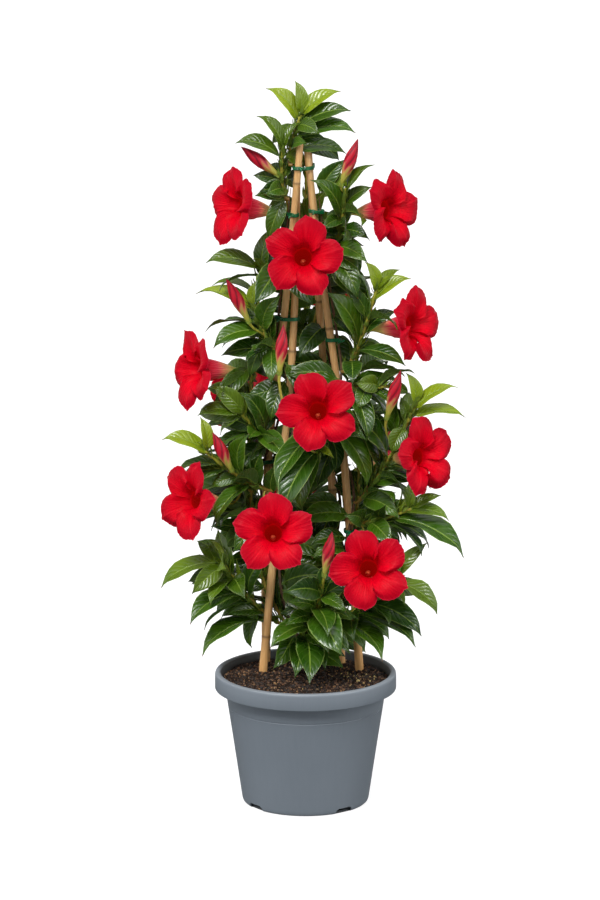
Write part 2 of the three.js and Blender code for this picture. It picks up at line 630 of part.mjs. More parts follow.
// A flower stalk: it leaves the stem along the stem's own run and meets the flower square on.
function growStalk(owner, curve, share, foot, ahead, material) {
  const from = curve.getPoint(share);
  const end = foot.clone().addScaledVector(ahead, -GAP - 0.05);
  const reach = end.distanceTo(from);
  const stalk = new THREE.CubicBezierCurve3(
    from,
    from.clone().addScaledVector(curve.getTangent(share), 0.3 * reach),
    end.clone().addScaledVector(ahead, -0.45 * reach),
    end,
  );
  const points = stalk.getPoints(3);
  points.splice(3, 0, end.clone().addScaledVector(ahead, -5));
  keep(owner, tubeBody(points, [1, 1.2, 1.3, 1.6, 2.3], STEM.sides), material);
}

// The way a leaf's face looks, from how wide it shows from the front.
function faceFor(ahead, seen, width) {
  const toFront = FRONT.clone().addScaledVector(ahead, -FRONT.dot(ahead)).normalize();
  const other = ahead.clone().cross(toFront);
  const ratio = Math.min(1, seen / width);
  const tilt = Math.sqrt(1 - ratio * ratio) * (other.z < 0 ? -1 : 1);
  return toFront.multiplyScalar(ratio).addScaledVector(other, tilt).normalize();
}

function listedLeaf(curve, [share, x, y, z, seen]) {
  const root = curve.getPoint(share);
  const tip = new THREE.Vector3(x, y, z);
  const length = tip.distanceTo(root);
  const width = Math.max(seen, LEAF.aspect * length);
  const normal = faceFor(tip.clone().sub(root).normalize(), seen, width);
  return { root, tip, normal, width, outline: FINE_BLADE };
}

// A leaf set round a stem by rule: turned by the golden angle, leaning out and drooping a little.
function ruledLeaf(curve, share, turn, length, droop) {
  const root = curve.getPoint(share);
  const { ahead, up, right } = frameAlong(curve.getTangent(share));
  const out = new THREE.Vector3(root.x - AXIS.x, root.y - AXIS.y, 0).normalize();
  const way = up.clone().multiplyScalar(Math.cos(turn)).addScaledVector(right, Math.sin(turn));
  way.addScaledVector(ahead, 0.35).addScaledVector(out, 0.75).addScaledVector(UP, -droop).normalize();
  const normal = UP.clone().addScaledVector(out, 0.8);
  normal.addScaledVector(way, -normal.dot(way)).normalize();
  const tip = root.clone().addScaledVector(way, length);
  return { root, tip, normal, width: LEAF.aspect * length, outline: PLAIN_BLADE };
}

const GOLDEN = 2.39996;
const FILLER = { length: 52, longer: 18, droop: 0.15, limper: 0.4, swing: 0.5 };

// The course of a climber's stem: from the crown to the rear and up, about half way out to the leaf tips.
function climberCurve({ angle, from, to }) {
  const turn = THREE.MathUtils.degToRad(angle);
  const way = new THREE.Vector3(Math.cos(turn), Math.sin(turn), 0);
  const at = (height, share) => new THREE.Vector3(AXIS.x, AXIS.y, height)
    .addScaledVector(way, share * readOff(PROFILE, height));
  const start = new THREE.Vector3(CROWN.x, CROWN.y, from - 20).addScaledVector(way, CROWN.radius + 4);
  return new THREE.CatmullRomCurve3([start, at(from + 60, 0.36), at((from + to) / 2, 0.5), at(to, 0.62)]);
}

function growStems({ owner, shoot, curve }) {
  const soft = shoot.young ?? 1;
  growStem(owner, curve, 0, soft, paint.leaf);
  const parting = (GAP + 0.1) / curve.getLength();
  if (shoot.young) growStem(`${owner}_young`, curve, soft + parting, 1, paint.young);
  (shoot.blooms ?? []).forEach(([number, share]) => {
    const bloom = BLOOMS[number - 1];
    growStalk(owner, curve, share, bloomBase(bloom), vec(bloom.faces).normalize(), paint.leaf);
  });
  (shoot.buds ?? []).forEach(([number, share]) => {
    const base = vec(BUDS[number - 1].base);
    growStalk(owner, curve, share, base, vec(BUDS[number - 1].tip).sub(base).normalize(), paint.leaf);
  });
}

// Climbers carry opposite pairs, each pair square to the last; the other shoots turn leaf by leaf.
function growFillers({ owner, shoot, curve }, blades, draw) {
  const count = shoot.pairs ? 2 * shoot.pairs : shoot.fill;
  for (let i = 0; i < count; i += 1) {
    const pair = Math.floor(i / 2);
    const share = shoot.pairs ? 0.12 + 0.88 * (pair + 0.5) / shoot.pairs : (i + 0.6) / (count + 0.2);
    const turn = shoot.pairs ? pair * Math.PI / 2 + (i % 2) * Math.PI : i * GOLDEN + 1;
    const length = FILLER.length + FILLER.longer * draw();
    const swing = FILLER.swing * (draw() - 0.5);
    const droop = FILLER.droop + FILLER.limper * draw();
    growLeaf(owner, paint.leaf, ruledLeaf(curve, share, turn + swing, length, droop), blades, true);
  }
}

// All stems and stalks come first, then the listed leaves, and last the leaves that only fill what is left.
function growShoots() {
  const shoots = Object.entries({ ...SHOOTS, ...SIDE_SHOOTS }).map(([name, shoot]) => {
    const { point, out } = shootStart(shoot.vine, shoot.height, shoot.to);
    return { owner: `shoot_${name}`, shoot, curve: shootCurve(point, out, vec(shoot.to), shoot.via) };
  });
  const climbers = Object.entries(CLIMBERS).map(([name, climber]) => (
    { owner: `shoot_${name}`, shoot: climber, curve: climberCurve(climber) }));
  const plans = [...shoots, ...climbers];
  plans.forEach(growStems);
  const blades = new Map();
  const bladesOf = (owner) => blades.get(owner) ?? blades.set(owner, []).get(owner);
  plans.forEach(({ owner, shoot, curve }) => (shoot.leaves ?? []).forEach((row) => {
    const young = shoot.young && row[0] > shoot.young;
    const home = young ? `${owner}_young` : owner;
    growLeaf(home, young ? paint.young : paint.leaf, listedLeaf(curve, row), bladesOf(home), false);
  }));
  const draw = seededStream(2026);
  plans.forEach((plan) => growFillers(plan, bladesOf(plan.owner), draw));
}

// ---------------------------------------------------------------- assembly

function meshOf(name, { bodies, material }) {
  const joined = bodies.length > 1 ? wasm.Manifold.union(bodies) : bodies[0];
  const largest = joined.decompose().reduce((a, b) => (a.volume() >= b.volume() ? a : b));
  const { vertProperties, triVerts } = largest.getMesh();
  const geometry = new THREE.BufferGeometry();
  geometry.setAttribute('position', new THREE.BufferAttribute(new Float32Array(vertProperties), 3));
  geometry.setIndex(new THREE.BufferAttribute(new Uint32Array(triVerts), 1));
  geometry.computeVertexNormals();
  const mesh = new THREE.Mesh(geometry, material);
  mesh.name = name;
  return mesh;
}

makePot();
makeSoil();
makeCanes();
makeWoodyStems();
Object.entries(TIES).forEach(([name, [height, canes, knotSide]]) => makeTie(name, height, canes, knotSide));
BLOOMS.forEach((bloom, i) => {
  keep(`bloom_${String(i + 1).padStart(2, '0')}`, bloomBody(bloom), paint.petal);
});
BUDS.forEach((bud, i) => keep(`bud_${i + 1}`, budBody(bud), paint.bud));
growShoots();

const mandevilla = new THREE.Group();
nodes.forEach((node, name) => mandevilla.add(meshOf(name, node)));

export default mandevilla;
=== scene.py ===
# %% [markdown]
# # A potted mandevilla on bamboo canes
# This notebook dresses a plain solid model of a climbing plant. The solids give every place and size. Each
# cell makes one kind of piece: the pot, the potting mix, the canes, the ties, the stems, the leaves and the
# blooms. First the solid model is loaded.

# %% Load the frame
import math

import bpy
import numpy as np
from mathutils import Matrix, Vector, noise
from mathutils.bvhtree import BVHTree
from mathutils.kdtree import KDTree


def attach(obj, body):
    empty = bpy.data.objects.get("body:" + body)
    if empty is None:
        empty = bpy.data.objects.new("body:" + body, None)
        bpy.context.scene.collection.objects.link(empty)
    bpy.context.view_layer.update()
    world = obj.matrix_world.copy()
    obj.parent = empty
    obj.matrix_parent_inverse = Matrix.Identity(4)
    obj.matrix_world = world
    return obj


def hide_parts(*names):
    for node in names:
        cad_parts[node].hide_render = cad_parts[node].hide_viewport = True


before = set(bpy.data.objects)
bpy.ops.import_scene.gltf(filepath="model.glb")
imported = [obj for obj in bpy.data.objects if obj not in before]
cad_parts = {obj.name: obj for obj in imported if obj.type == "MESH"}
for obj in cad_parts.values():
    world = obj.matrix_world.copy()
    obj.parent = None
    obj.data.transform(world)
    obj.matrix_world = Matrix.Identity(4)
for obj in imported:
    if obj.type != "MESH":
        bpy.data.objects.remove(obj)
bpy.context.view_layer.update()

MM = 0.001

# %% [markdown]
# ## Camera
# A long lens from five and a half metres keeps the pot's ellipses flat and its sides upright. The camera
# looks along +Y and a little down, so its turn about X is 90 degrees less that dip. Nothing is out of focus.

# %% Camera
DIP = 12.9
camera_data = bpy.data.cameras.new("camera")
camera_data.lens = 200
camera_data.sensor_width = 36
camera = bpy.data.objects.new("camera", camera_data)
camera.location = (-0.00648, -5.58218, 1.69510)
camera.rotation_euler = (math.radians(90 - DIP), 0, 0)
bpy.context.scene.collection.objects.link(camera)
bpy.context.scene.camera = camera
print("camera", camera.location)

# %% [markdown]
# ## Light and floor
# Plants look best in broad, soft light. Suns with very wide discs stand for studio softboxes: the key, in
# front and to the left, models the leaves, one on each side fills the shadows, and one above and behind draws
# the pale sheen along the arched blades. Two more add gloss alone, which makes the leaves look fresh. Suns
# are used, not area lamps, because their light doesn't fall off, so the floor stays evenly pale to its edge.

# %% Lamps, sky and floor
def softbox(name, place, power, width, gloss_only=False):
    """A sun that shines from place towards the origin. The width of its disc is in degrees."""
    data = bpy.data.lights.new(name, "SUN")
    data.energy = power
    data.angle = math.radians(width)
    light = bpy.data.objects.new(name, data)
    light.rotation_euler = (-Vector(place)).to_track_quat("-Z", "Y").to_euler()
    light.visible_diffuse = not gloss_only
    bpy.context.scene.collection.objects.link(light)


softbox("key", (-0.7, -2.2, 2.7), 2.4, 24)
softbox("fill_right", (3.0, -0.9, 1.2), 1.1, 50)
softbox("fill_left", (-3.0, -0.7, 1.0), 0.8, 50)
softbox("overhead", (0.4, 0.9, 2.8), 0.6, 50)
softbox("glint_left", (-1.2, -1.7, 2.2), 1.6, 12, gloss_only=True)
softbox("glint_right", (1.7, -1.5, 1.9), 1.1, 12, gloss_only=True)

sky = bpy.data.worlds.new("sky")
sky.use_nodes = True
bpy.context.scene.world = sky
bpy.context.scene.view_settings.view_transform = "Standard"
bpy.context.scene.view_settings.look = "None"

REACH = 40
floor_mesh = bpy.data.meshes.new("floor")
floor_corners = [(-REACH, -REACH, 0), (REACH, -REACH, 0), (REACH, REACH, 0), (-REACH, REACH, 0)]
floor_mesh.from_pydata(floor_corners, [], [(0, 1, 2, 3)])
floor = bpy.data.objects.new("floor", floor_mesh)
bpy.context.scene.collection.objects.link(floor)
floor.visible_diffuse = floor.visible_glossy = False
print("six lamps and a floor of", 2 * REACH, "m")

# %% [markdown]
# ## Shader sums
# Materials are easier to read as sums than as node pictures. The class below wraps one socket. Adding or
# multiplying it makes the Math node, and `node` makes any other node from its kind, its settings and its
# inputs.

# %% A socket that can be added and multiplied
class Wire:
    """One output in a material's node tree."""

    def __init__(self, tree, socket=None):
        self.tree = tree
        self.socket = socket

    def node(self, kind, settings=(), values=(), out=0):
        """Adds a node: its settings first, then a value or a wire for each input."""
        made = self.tree.nodes.new(kind)
        for name, setting in dict(settings).items():
            if name == "stops":
                made.color_ramp.elements.remove(made.color_ramp.elements[1])
                made.color_ramp.elements[0].position = setting[0][0]
                made.color_ramp.elements[0].color = (*setting[0][1], 1)
                for place, colour in setting[1:]:
                    made.color_ramp.elements.new(place).color = (*colour, 1)
            else:
                setattr(made, name, setting)
        for name, value in dict(values).items():
            if isinstance(value, Wire):
                self.tree.links.new(value.socket, made.inputs[name])
            elif isinstance(value, tuple) and len(value) == 3 and made.inputs[name].type == "RGBA":
                made.inputs[name].default_value = (*value, 1)
            else:
                made.inputs[name].default_value = value
        return Wire(self.tree, made.outputs[out])

    def maths(self, operation, *others):
        """This value, and any others, through one Math node."""
        return self.node("ShaderNodeMath", {"operation": operation}, enumerate((self, *others)))

    def __add__(self, other):
        return self.maths("ADD", other)

    def __sub__(self, other):
        return self.maths("SUBTRACT", other)

    def __rsub__(self, other):
        return self.node("ShaderNodeMath", {"operation": "SUBTRACT"}, {0: other, 1: self})

    def __mul__(self, other):
        return self.maths("MULTIPLY", other)

    def __abs__(self):
        return self.maths("ABSOLUTE")

    __radd__ = __add__
    __rmul__ = __mul__

    def step(self, low, high):
        """0 below low, 1 above high, smooth between; high may be the lower one."""
        return self.node("ShaderNodeMapRange", {"interpolation_type": "SMOOTHSTEP"},
                         {"Value": self, "From Min": low, "From Max": high})

    def blend(self, start, end):
        """The colour start where this is 0 and end where it is 1."""
        return self.node("ShaderNodeMix", {"data_type": "RGBA"}, {0: self, 6: start, 7: end}, 2)

    def painted(self, name):
        """A value that was stored on the mesh, point by point."""
        return self.node("ShaderNodeAttribute", {"attribute_name": name}, out="Fac")

    def ramp(self, *stops):
        """A colour read off a row of (place, colour) stops."""
        return self.node("ShaderNodeValToRGB", {"stops": stops}, {"Fac": self})

    def grain(self, scale, detail=3.0, stretch=(1, 1, 1)):
        """Noise between 0 and 1 in the object's own metres. A small stretch draws it out along an axis."""
        place = self.node("ShaderNodeTexCoord", out="Object")
        place = self.node("ShaderNodeMapping", values={"Vector": place, "Scale": stretch})
        return self.node("ShaderNodeTexNoise", values={"Vector": place, "Scale": scale, "Detail": detail})

    def bump(self, distance):
        """This value as a height, up to distance in metres, that bends the light."""
        return self.node("ShaderNodeBump", values={"Height": self, "Distance": distance}, out="Normal")


def finish(name, paint, **constants):
    """A Principled material. paint(wire) returns what varies over the surface; the rest is constant."""
    material = bpy.data.materials.new(name)
    material.use_nodes = True
    tree = material.node_tree
    shader = tree.nodes["Principled BSDF"]
    for socket, value in constants.items():
        shader.inputs[socket.replace("_", " ")].default_value = value
    for socket, wire in paint(Wire(tree)).items():
        tree.links.new(wire.socket, shader.inputs[socket])
    return material


def srgb(red, green, blue):
    """A screen colour as the linear light that Blender works in."""
    return tuple(c / 12.92 if c <= 0.04045 else ((c + 0.055) / 1.055) ** 2.4
                 for c in (red / 255, green / 255, blue / 255))


print("a pale grey in linear light:", srgb(200, 200, 200))

# %% [markdown]
# ## Floor and sky
# The floor gives most of its light itself, so it stays white and even, with no edge and hardly a shadow. The
# sky is bright at the horizon and dim overhead. Glossy leaves and satin plastic mirror that change, and it
# gives them their soft gradients. One smooth step on the height of each direction makes it.

# %% Floor and sky finish
FLOOR_GLOW = 0.88
SKY_TINT = (0.97, 0.985, 1, 1)
SKY_HORIZON, SKY_OVERHEAD = 1.0, 0.17


def floor_paint(w):
    return {"Base Color": w.grain(3).blend(srgb(150, 150, 151), srgb(153, 153, 153))}


floor.data.materials.append(finish("pale_floor", floor_paint, Roughness=0.9, Specular_IOR_Level=0.0,
                                   Emission_Color=(1, 1, 1, 1), Emission_Strength=FLOOR_GLOW))
wire = Wire(sky.node_tree)
direction = wire.node("ShaderNodeTexCoord", out="Generated")
rise = abs(wire.node("ShaderNodeSeparateXYZ", values={"Vector": direction}, out="Z"))
strength = rise.step(0.2, 0.06) * (SKY_HORIZON - SKY_OVERHEAD) + SKY_OVERHEAD
background = sky.node_tree.nodes["Background"]
background.inputs["Color"].default_value = SKY_TINT
sky.node_tree.links.new(strength.socket, background.inputs["Strength"])
print("the sky has", len(sky.node_tree.nodes), "nodes")

# %% [markdown]
# ## Making meshes
# Every piece below is a list of points and faces, worked out in millimetres and written to one mesh at the
# end. `Mould` collects them, with the values that the materials read. `tube` skins a curve with rings. Its
# rings are carried from point to point with the smallest turn, so a winding stem doesn't wring.

# %% Mould, grid and tube
UP = np.array([0.0, 0.0, 1.0])


def unit(v):
    """A direction of length 1."""
    return v / np.linalg.norm(v, axis=-1, keepdims=True)


def square_to(v, ahead):
    """The direction nearest to v that stands square to the way ahead."""
    return unit(v - ahead * (v @ ahead))


class Mould:
    """Collects the points, faces and painted values of one piece, in millimetres."""

    def __init__(self):
        self.points, self.faces, self.kinds, self.values = [], [], [], {}
        self.count = 0

    def add(self, points, faces, kind=0, **values):
        """Adds a shape. kind is the place of its finish in the piece's row, or one place for each face."""
        self.points.append(points)
        self.faces += [[i + self.count for i in face] for face in faces]
        self.kinds += kind if isinstance(kind, list) else [kind] * len(faces)
        for name, value in values.items():
            self.values.setdefault(name, []).append((self.count, np.broadcast_to(value, len(points))))
        self.count += len(points)

    def piece(self, name, finishes, slot, nodes, crease=50):
        """Makes the object. It rides the body and takes the place of the nodes."""
        mesh = bpy.data.meshes.new(name)
        mesh.from_pydata((np.concatenate(self.points) * MM).tolist(), [], self.faces)
        mesh.polygons.foreach_set("material_index", self.kinds)
        for value_name, parts in self.values.items():
            whole = np.zeros(self.count, np.float32)
            for start, value in parts:
                whole[start:start + len(value)] = value
            mesh.attributes.new(value_name, "FLOAT", "POINT").data.foreach_set("value", whole)
        for material in finishes:
            mesh.materials.append(material)
        mesh.shade_smooth()
        mesh.set_sharp_from_angle(angle=math.radians(crease))
        piece = bpy.data.objects.new(name, mesh)
        bpy.context.scene.collection.objects.link(piece)
        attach(piece, "root")
        if nodes:
            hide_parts(*nodes)
        return piece


def grid_faces(rows, columns, ring=False, flip=False):
    """Squares between the points of a grid, row by row. A ring joins the last column to the first."""
    faces = []
    for r in range(rows - 1):
        for c in range(columns if ring else columns - 1):
            a, b = r * columns + c, r * columns + (c + 1) % columns
            face = [a, b, b + columns, a + columns]
            faces.append(face[::-1] if flip else face)
    return faces


def ring_faces(rows, columns):
    """A closed skin: rings of points, with the first and the last ring shut by one flat face."""
    faces = grid_faces(rows, columns, ring=True)
    return faces + [list(range(columns))[::-1], [(rows - 1) * columns + c for c in range(columns)]]


def carried_frames(path):
    """Two directions square to a path at each of its points, without needless turning."""
    ahead = unit(np.gradient(path, axis=0))
    start = np.array([1.0, 0, 0]) if abs(ahead[0][0]) < 0.8 else np.array([0, 1.0, 0])
    across = []
    for direction in ahead:
        start = square_to(start, direction)
        across.append(start)
    across = np.array(across)
    return across, np.cross(ahead, across)


def tube(path, radii, sides):
    """Points and faces of a tube. radii is one number, one per point, or one per point and side."""
    path = np.asarray(path, float)
    across, other = carried_frames(path)
    turn = 2 * np.pi * np.arange(sides) / sides
    radii = np.broadcast_to(np.asarray(radii, float), (sides, len(path))).T if np.ndim(radii) < 2 else radii
    points = path[:, None] + radii[:, :, None] * (
        across[:, None] * np.cos(turn)[None, :, None] + other[:, None] * np.sin(turn)[None, :, None])
    return points.reshape(-1, 3), ring_faces(len(path), sides)


print("helpers ready")

# %% [markdown]
# ## Where everything grows
# The tables below are the plant's own plan, in millimetres: the canes' centre lines, the blooms, the buds and
# every side shoot with its leaves. The same plan made the solids, so a fine piece made from it lands exactly
# where its solid is. Copying numbers is duller than measuring the solids, but a leaf's middle line and the
# way it faces can't be read from a closed solid.

# %% Canes, ties and stems
GAP = 0.35
FRONT = np.array([0, -0.975, 0.223])
AXIS = (0, 15)
SOIL_LEVEL = 143
CANE_RADIUS = ((143, 4.9), (770, 3.8))
CANE_FOOT = 85
CROWN = (0, 25, 6)
VINE_RADIUS, VINE_SLACK, VINE_FROM, VINE_TO, VINE_TURNS = 1.9, 1.6, 280, 520, 1.5
STEM_RADIUS, STEM_TIP = 1.7, 1.1
CANES = {
    "rear_left": (
        (-46, 59, 143), (-47, 55, 250), (-46, 49, 350), (-41, 40, 425), (-23, 21, 582), (-6, 6, 771)),
    "front_left": ((-50, 15, 143), (-39, 17, 266), (-17, 21, 495), (-12, 24, 590), (-9, 28, 766)),
    "front_right": ((63, 26, 143), (57, 25, 232), (46, 24, 379), (36, 22, 494), (21, 19, 596), (1, 17, 762)),
    "rear_right": ((42, 58, 143), (33, 53, 330), (18, 45, 540), (3, 30, 764)),
}
VINE_TOPS = {"rear_left": 720, "front_left": 515, "front_right": 712, "rear_right": 640}
PROFILE = ((150, 90), (220, 125), (290, 160), (360, 150), (475, 122), (590, 98), (705, 66), (800, 38))
TIES = {
    "tie_top": (742, ("rear_left", "front_left", "front_right", "rear_right"), -60),
    "tie_upper_left": (688, ("rear_left",), -100),
    "tie_upper_right": (691, ("front_right",), -80),
    "tie_middle_left": (566, ("rear_left", "front_left"), -110),
    "tie_middle_right": (541, ("front_right",), -70),
    "tie_lower_left": (394, ("rear_left",), -120),
    "tie_lower_right": (316, ("front_right",), -80),
}
print(len(CANES), "canes and", len(TIES), "ties")

# %% Blooms and buds
# A bloom is (its mouth's centre, the way it faces, the turn of its first petal in degrees), and a bud is (its
# base, its tip). The first ten blooms face the front and the sides, and the last four are at the back.
BLOOM_LENGTH, FRONT_BLOOMS = 64, 10
BLOOMS = (
    ((-78, 2, 699), (-0.83, -0.5, 0.2), -21), ((95, 0, 696), (0.78, -0.6, 0.18), 18),
    ((-3, -48, 650), (0, -0.97, 0.2), 9), ((121, -8, 563), (0.83, -0.53, 0.18), 12),
    ((-124, 4, 510), (-0.87, -0.47, 0.12), 38), ((14, -72, 478), (0, -0.97, 0.24), -24),
    ((133, -22, 414), (0.68, -0.7, 0.2), -10), ((-131, -28, 364), (-0.72, -0.66, 0.2), 13),
    ((-37, -85, 339), (0, -0.97, 0.24), -2), ((72, -80, 296), (0.05, -0.97, 0.22), -23),
    ((22, 124, 596), (0.1, 0.95, 0.25), 12), ((-70, 132, 448), (-0.42, 0.86, 0.22), -15),
    ((95, 118, 390), (0.62, 0.74, 0.25), 30), ((-20, 148, 305), (-0.1, 0.96, 0.24), 5),
)
BUDS = (
    ((-30, 10, 733), (-73, 0, 768)), ((40, 5, 722), (59, 0, 777)), ((-64, 0, 565), (-90, -10, 618)),
    ((-30, -38, 513), (-25, -40, 571)), ((92, -15, 456), (108, -25, 515)),
    ((-84, -20, 396), (-106, -30, 444)), ((21, -75, 286), (30, -80, 340)),
)
print(len(BLOOMS), "blooms and", len(BUDS), "buds")

# %% Shoots
# A leaf is (share of the stem, its tip's x, y and z, the width that shows from the front). A bloom or a bud
# is (its number, the share of the stem where its stalk starts). Past the share "young", the leaves are young.
SHOOTS = {
    "crown": dict(vine="rear_left", height=700, to=(-5, 18, 803), young=0.86, leaves=(
        (0.88, -45, 5, 835, 20), (0.97, -12, 22, 841, 15), (0.95, 35, 18, 837, 18), (0.75, 52, 5, 811, 20),
        (0.6, 58, 0, 787, 20))),
    "top_left": dict(
        vine="rear_left", height=660, to=(-26, 8, 762), fill=1, blooms=((1, 0.02),), buds=((1, 0.55),),
        leaves=(
            (1, -55, 0, 805, 15), (0.98, -20, 10, 800, 10), (0.88, -80, -10, 776, 17),
            (0.45, -60, 10, 733, 15), (0.55, -40, 25, 745, 15), (0.2, -52, -5, 718, 23),
            (0.05, -43, 5, 660, 21))),
    "top_right": dict(
        vine="front_right", height=640, to=(45, 5, 720), fill=2, blooms=((2, 0.35),), buds=((2, 0.93),),
        leaves=(
            (0.86, 78, 0, 749, 11), (0.78, 75, 5, 722, 14), (0.5, 55, 20, 705, 17), (0.6, 14, -12, 741, 20),
            (0.95, 16, 20, 744, 17), (0.2, 70, -25, 640, 22), (0.42, 75, 30, 655, 10),
            (0.03, 60, -15, 596, 25), (0.1, 40, 42, 658, 18))),
    "upper_right": dict(
        vine="front_right", height=500, to=(80, 0, 604), young=0.8, fill=2, blooms=((4, 0.35),), leaves=(
            (0.97, 68, -8, 638, 13), (0.98, 104, 10, 630, 11), (0.88, 120, -5, 619, 15),
            (0.66, 52, -12, 628, 13), (0.56, 105, 15, 576, 16), (0.36, 115, -15, 519, 16),
            (0.22, 53, -30, 501, 23), (0.4, 24, -20, 606, 23), (0.42, 86, 25, 526, 14))),
    "upper_left": dict(
        vine="front_left", height=510, to=(-59, 9, 583), young=0.8, fill=2, blooms=((5, 0.1),),
        buds=((3, 0.5),), leaves=(
            (0.9, -129, 12, 597, 16), (0.98, -57, 10, 612, 14), (0.63, -107, -10, 539, 20),
            (0.6, -28, -16, 600, 23), (0.15, -97, 15, 515, 21), (0.3, -40, -22, 499, 20))),
    "left_high": dict(vine="rear_left", height=600, to=(-50, 8, 625), fill=2, leaves=(
        (0.98, -115, 0, 637, 18), (0.9, -50, -20, 600, 16), (0.75, -38, 10, 675, 19),
        (0.5, -50, 32, 655, 18))),
    "left_middle": dict(vine="rear_left", height=462, to=(-73, -5, 461), fill=3, leaves=(
        (0.35, -80, 0, 470, 17), (0.97, -125, -5, 459, 16), (0.55, -60, -25, 436, 20),
        (0.95, -99, 10, 431, 11), (0.3, -73, -15, 489, 21), (0.4, -33, -32, 455, 21),
        (0.5, -22, -38, 414, 23))),
    "right_middle": dict(vine="front_right", height=445, to=(94, -3, 492), fill=3, leaves=(
        (0.97, 118, 5, 481, 13), (0.6, 58, -26, 471, 20), (0.85, 56, -20, 499, 21), (0.5, 99, -20, 466, 15),
        (0.2, 78, -30, 434, 21))),
    "mid_right": dict(
        vine="front_right", height=365, to=(126, -10, 473), young=0.8, fill=3, blooms=((7, 0.25),),
        buds=((5, 0.6),), leaves=(
            (0.98, 115, -15, 511, 14), (0.94, 175, -5, 494, 16), (0.9, 185, 0, 456, 16),
            (0.7, 106, 15, 486, 13), (0.55, 65, -12, 481, 18), (0.4, 54, -18, 466, 21),
            (0.28, 121, 0, 380, 17), (0.08, 108, -22, 341, 24), (0.15, 80, 15, 350, 20))),
    "mid_left": dict(
        vine="front_left", height=330, to=(-115, -20, 420), young=0.82, fill=3, blooms=((8, 0.35), (9, 0.03)),
        buds=((6, 0.6),), leaves=(
            (0.92, -165, -20, 436, 17), (0.97, -120, -15, 460, 15), (0.72, -150, 5, 390, 11),
            (0.5, -110, -5, 374, 15), (0.3, -112, -35, 339, 14), (0.12, -144, 10, 311, 23),
            (0.45, -66, -25, 441, 20), (0.2, -50, -12, 416, 21))),
    "centre": dict(
        vine="front_right", height=420, to=(16, -34, 424), fill=3, pale=0, blooms=((6, 0.3),),
        buds=((4, 0.95),), leaves=(
            (0.5, -36, -64, 386, 28), (0.7, -5, -38, 396, 21), (0.97, 3, -40, 351, 22),
            (0.4, 45, -32, 367, 22), (0.8, -16, -28, 441, 21), (0.95, -22, -48, 346, 23))),
    "low_right": dict(
        vine="front_right", height=282, to=(121, -12, 350), fill=3, blooms=((10, 0.12),), leaves=(
            (0.96, 108, -20, 379, 10), (0.98, 118, -5, 381, 13), (0.99, 156, -10, 366, 13),
            (0.86, 166, -20, 340, 13), (0.55, 91, -34, 364, 17), (0.63, 186, -30, 299, 22),
            (0.48, 146, 15, 296, 18), (0.35, 99, -38, 314, 24), (0.22, 45, -32, 346, 22))),
    "foot_right": dict(vine="front_right", height=205, to=(102, -10, 267), fill=3, leaves=(
        (0.08, 90, -62, 186, 26), (0.3, 126, -35, 181, 17), (0.6, 136, -25, 204, 23),
        (0.97, 154, -15, 226, 17), (0.65, 109, 12, 214, 14), (0.4, 54, -52, 205, 22),
        (0.22, 70, 5, 177, 18))),
    "foot_left": dict(vine="rear_left", height=195, via=(-66, 30, 222), to=(-96, -10, 288), fill=3, leaves=(
        (0.98, -169, -5, 256, 15), (0.95, -131, -32, 254, 22), (0.9, -115, 10, 305, 16),
        (0.63, -134, -32, 219, 20), (0.6, -105, 15, 221, 14), (0.32, -91, 10, 220, 14),
        (0.23, -105, -35, 176, 22), (0.8, -70, -52, 255, 24), (0.4, -64, 22, 174, 15),
        (0.55, -44, -22, 291, 21))),
    "foot_centre": dict(
        vine="front_left", height=182, to=(20, -58, 270), fill=2, pale=0, buds=((7, 0.95),), leaves=(
            (0.7, 41, -96, 199, 38), (0.25, 5, -78, 161, 32), (0.3, 20, -32, 180, 18),
            (0.45, -41, -62, 200, 22), (0.88, 46, -76, 245, 15), (0.5, -10, -42, 260, 22),
            (0.92, 40, -60, 301, 18), (0.72, -20, -70, 255, 20))),
    "rear_low_left": dict(vine="rear_left", height=300, to=(-78, 112, 330), fill=12),
    "rear_low_right": dict(vine="rear_right", height=290, to=(80, 110, 310), fill=12),
}
CLIMBERS = {
    "rear_east": dict(angle=22, start=190, end=655, pairs=6, blooms=((13, 0.4),)),
    "rear_middle": dict(angle=90, start=175, end=735, pairs=8, blooms=((14, 0.22), (11, 0.7), (3, 0.76))),
    "rear_west": dict(angle=165, start=200, end=640, pairs=6, blooms=((12, 0.62),)),
}
print(len(SHOOTS), "side shoots and", len(CLIMBERS), "climbers")

# %% [markdown]
# ## Curves
# A stem is a smooth curve, and everything on it asks the curve for a place and a direction. Bezier curves
# make the side shoots and the flower stalks. The climbers pass through a few given points, so they are
# Catmull-Rom curves with centripetal spacing, which never loop or overshoot between points.

# %% Curves and small helpers
class Curve:
    """A course that is asked for its direction and its length."""

    def tangent(self, t):
        return unit(self.point(min(1, t + 1e-4)) - self.point(max(0, t - 1e-4)))

    def length(self):
        points = self.line(201)
        return np.linalg.norm(np.diff(points, axis=0), axis=1).sum()

    def line(self, count, start=0.0, end=1.0):
        return np.array([self.point(t) for t in np.linspace(start, end, count)])


class Bezier(Curve):
    """A Bezier curve with any number of control points."""

    def __init__(self, *controls):
        self.controls = np.array(controls, float)

    def point(self, t):
        row = self.controls
        while len(row) > 1:
            row = row[:-1] * (1 - t) + row[1:] * t
        return row[0]


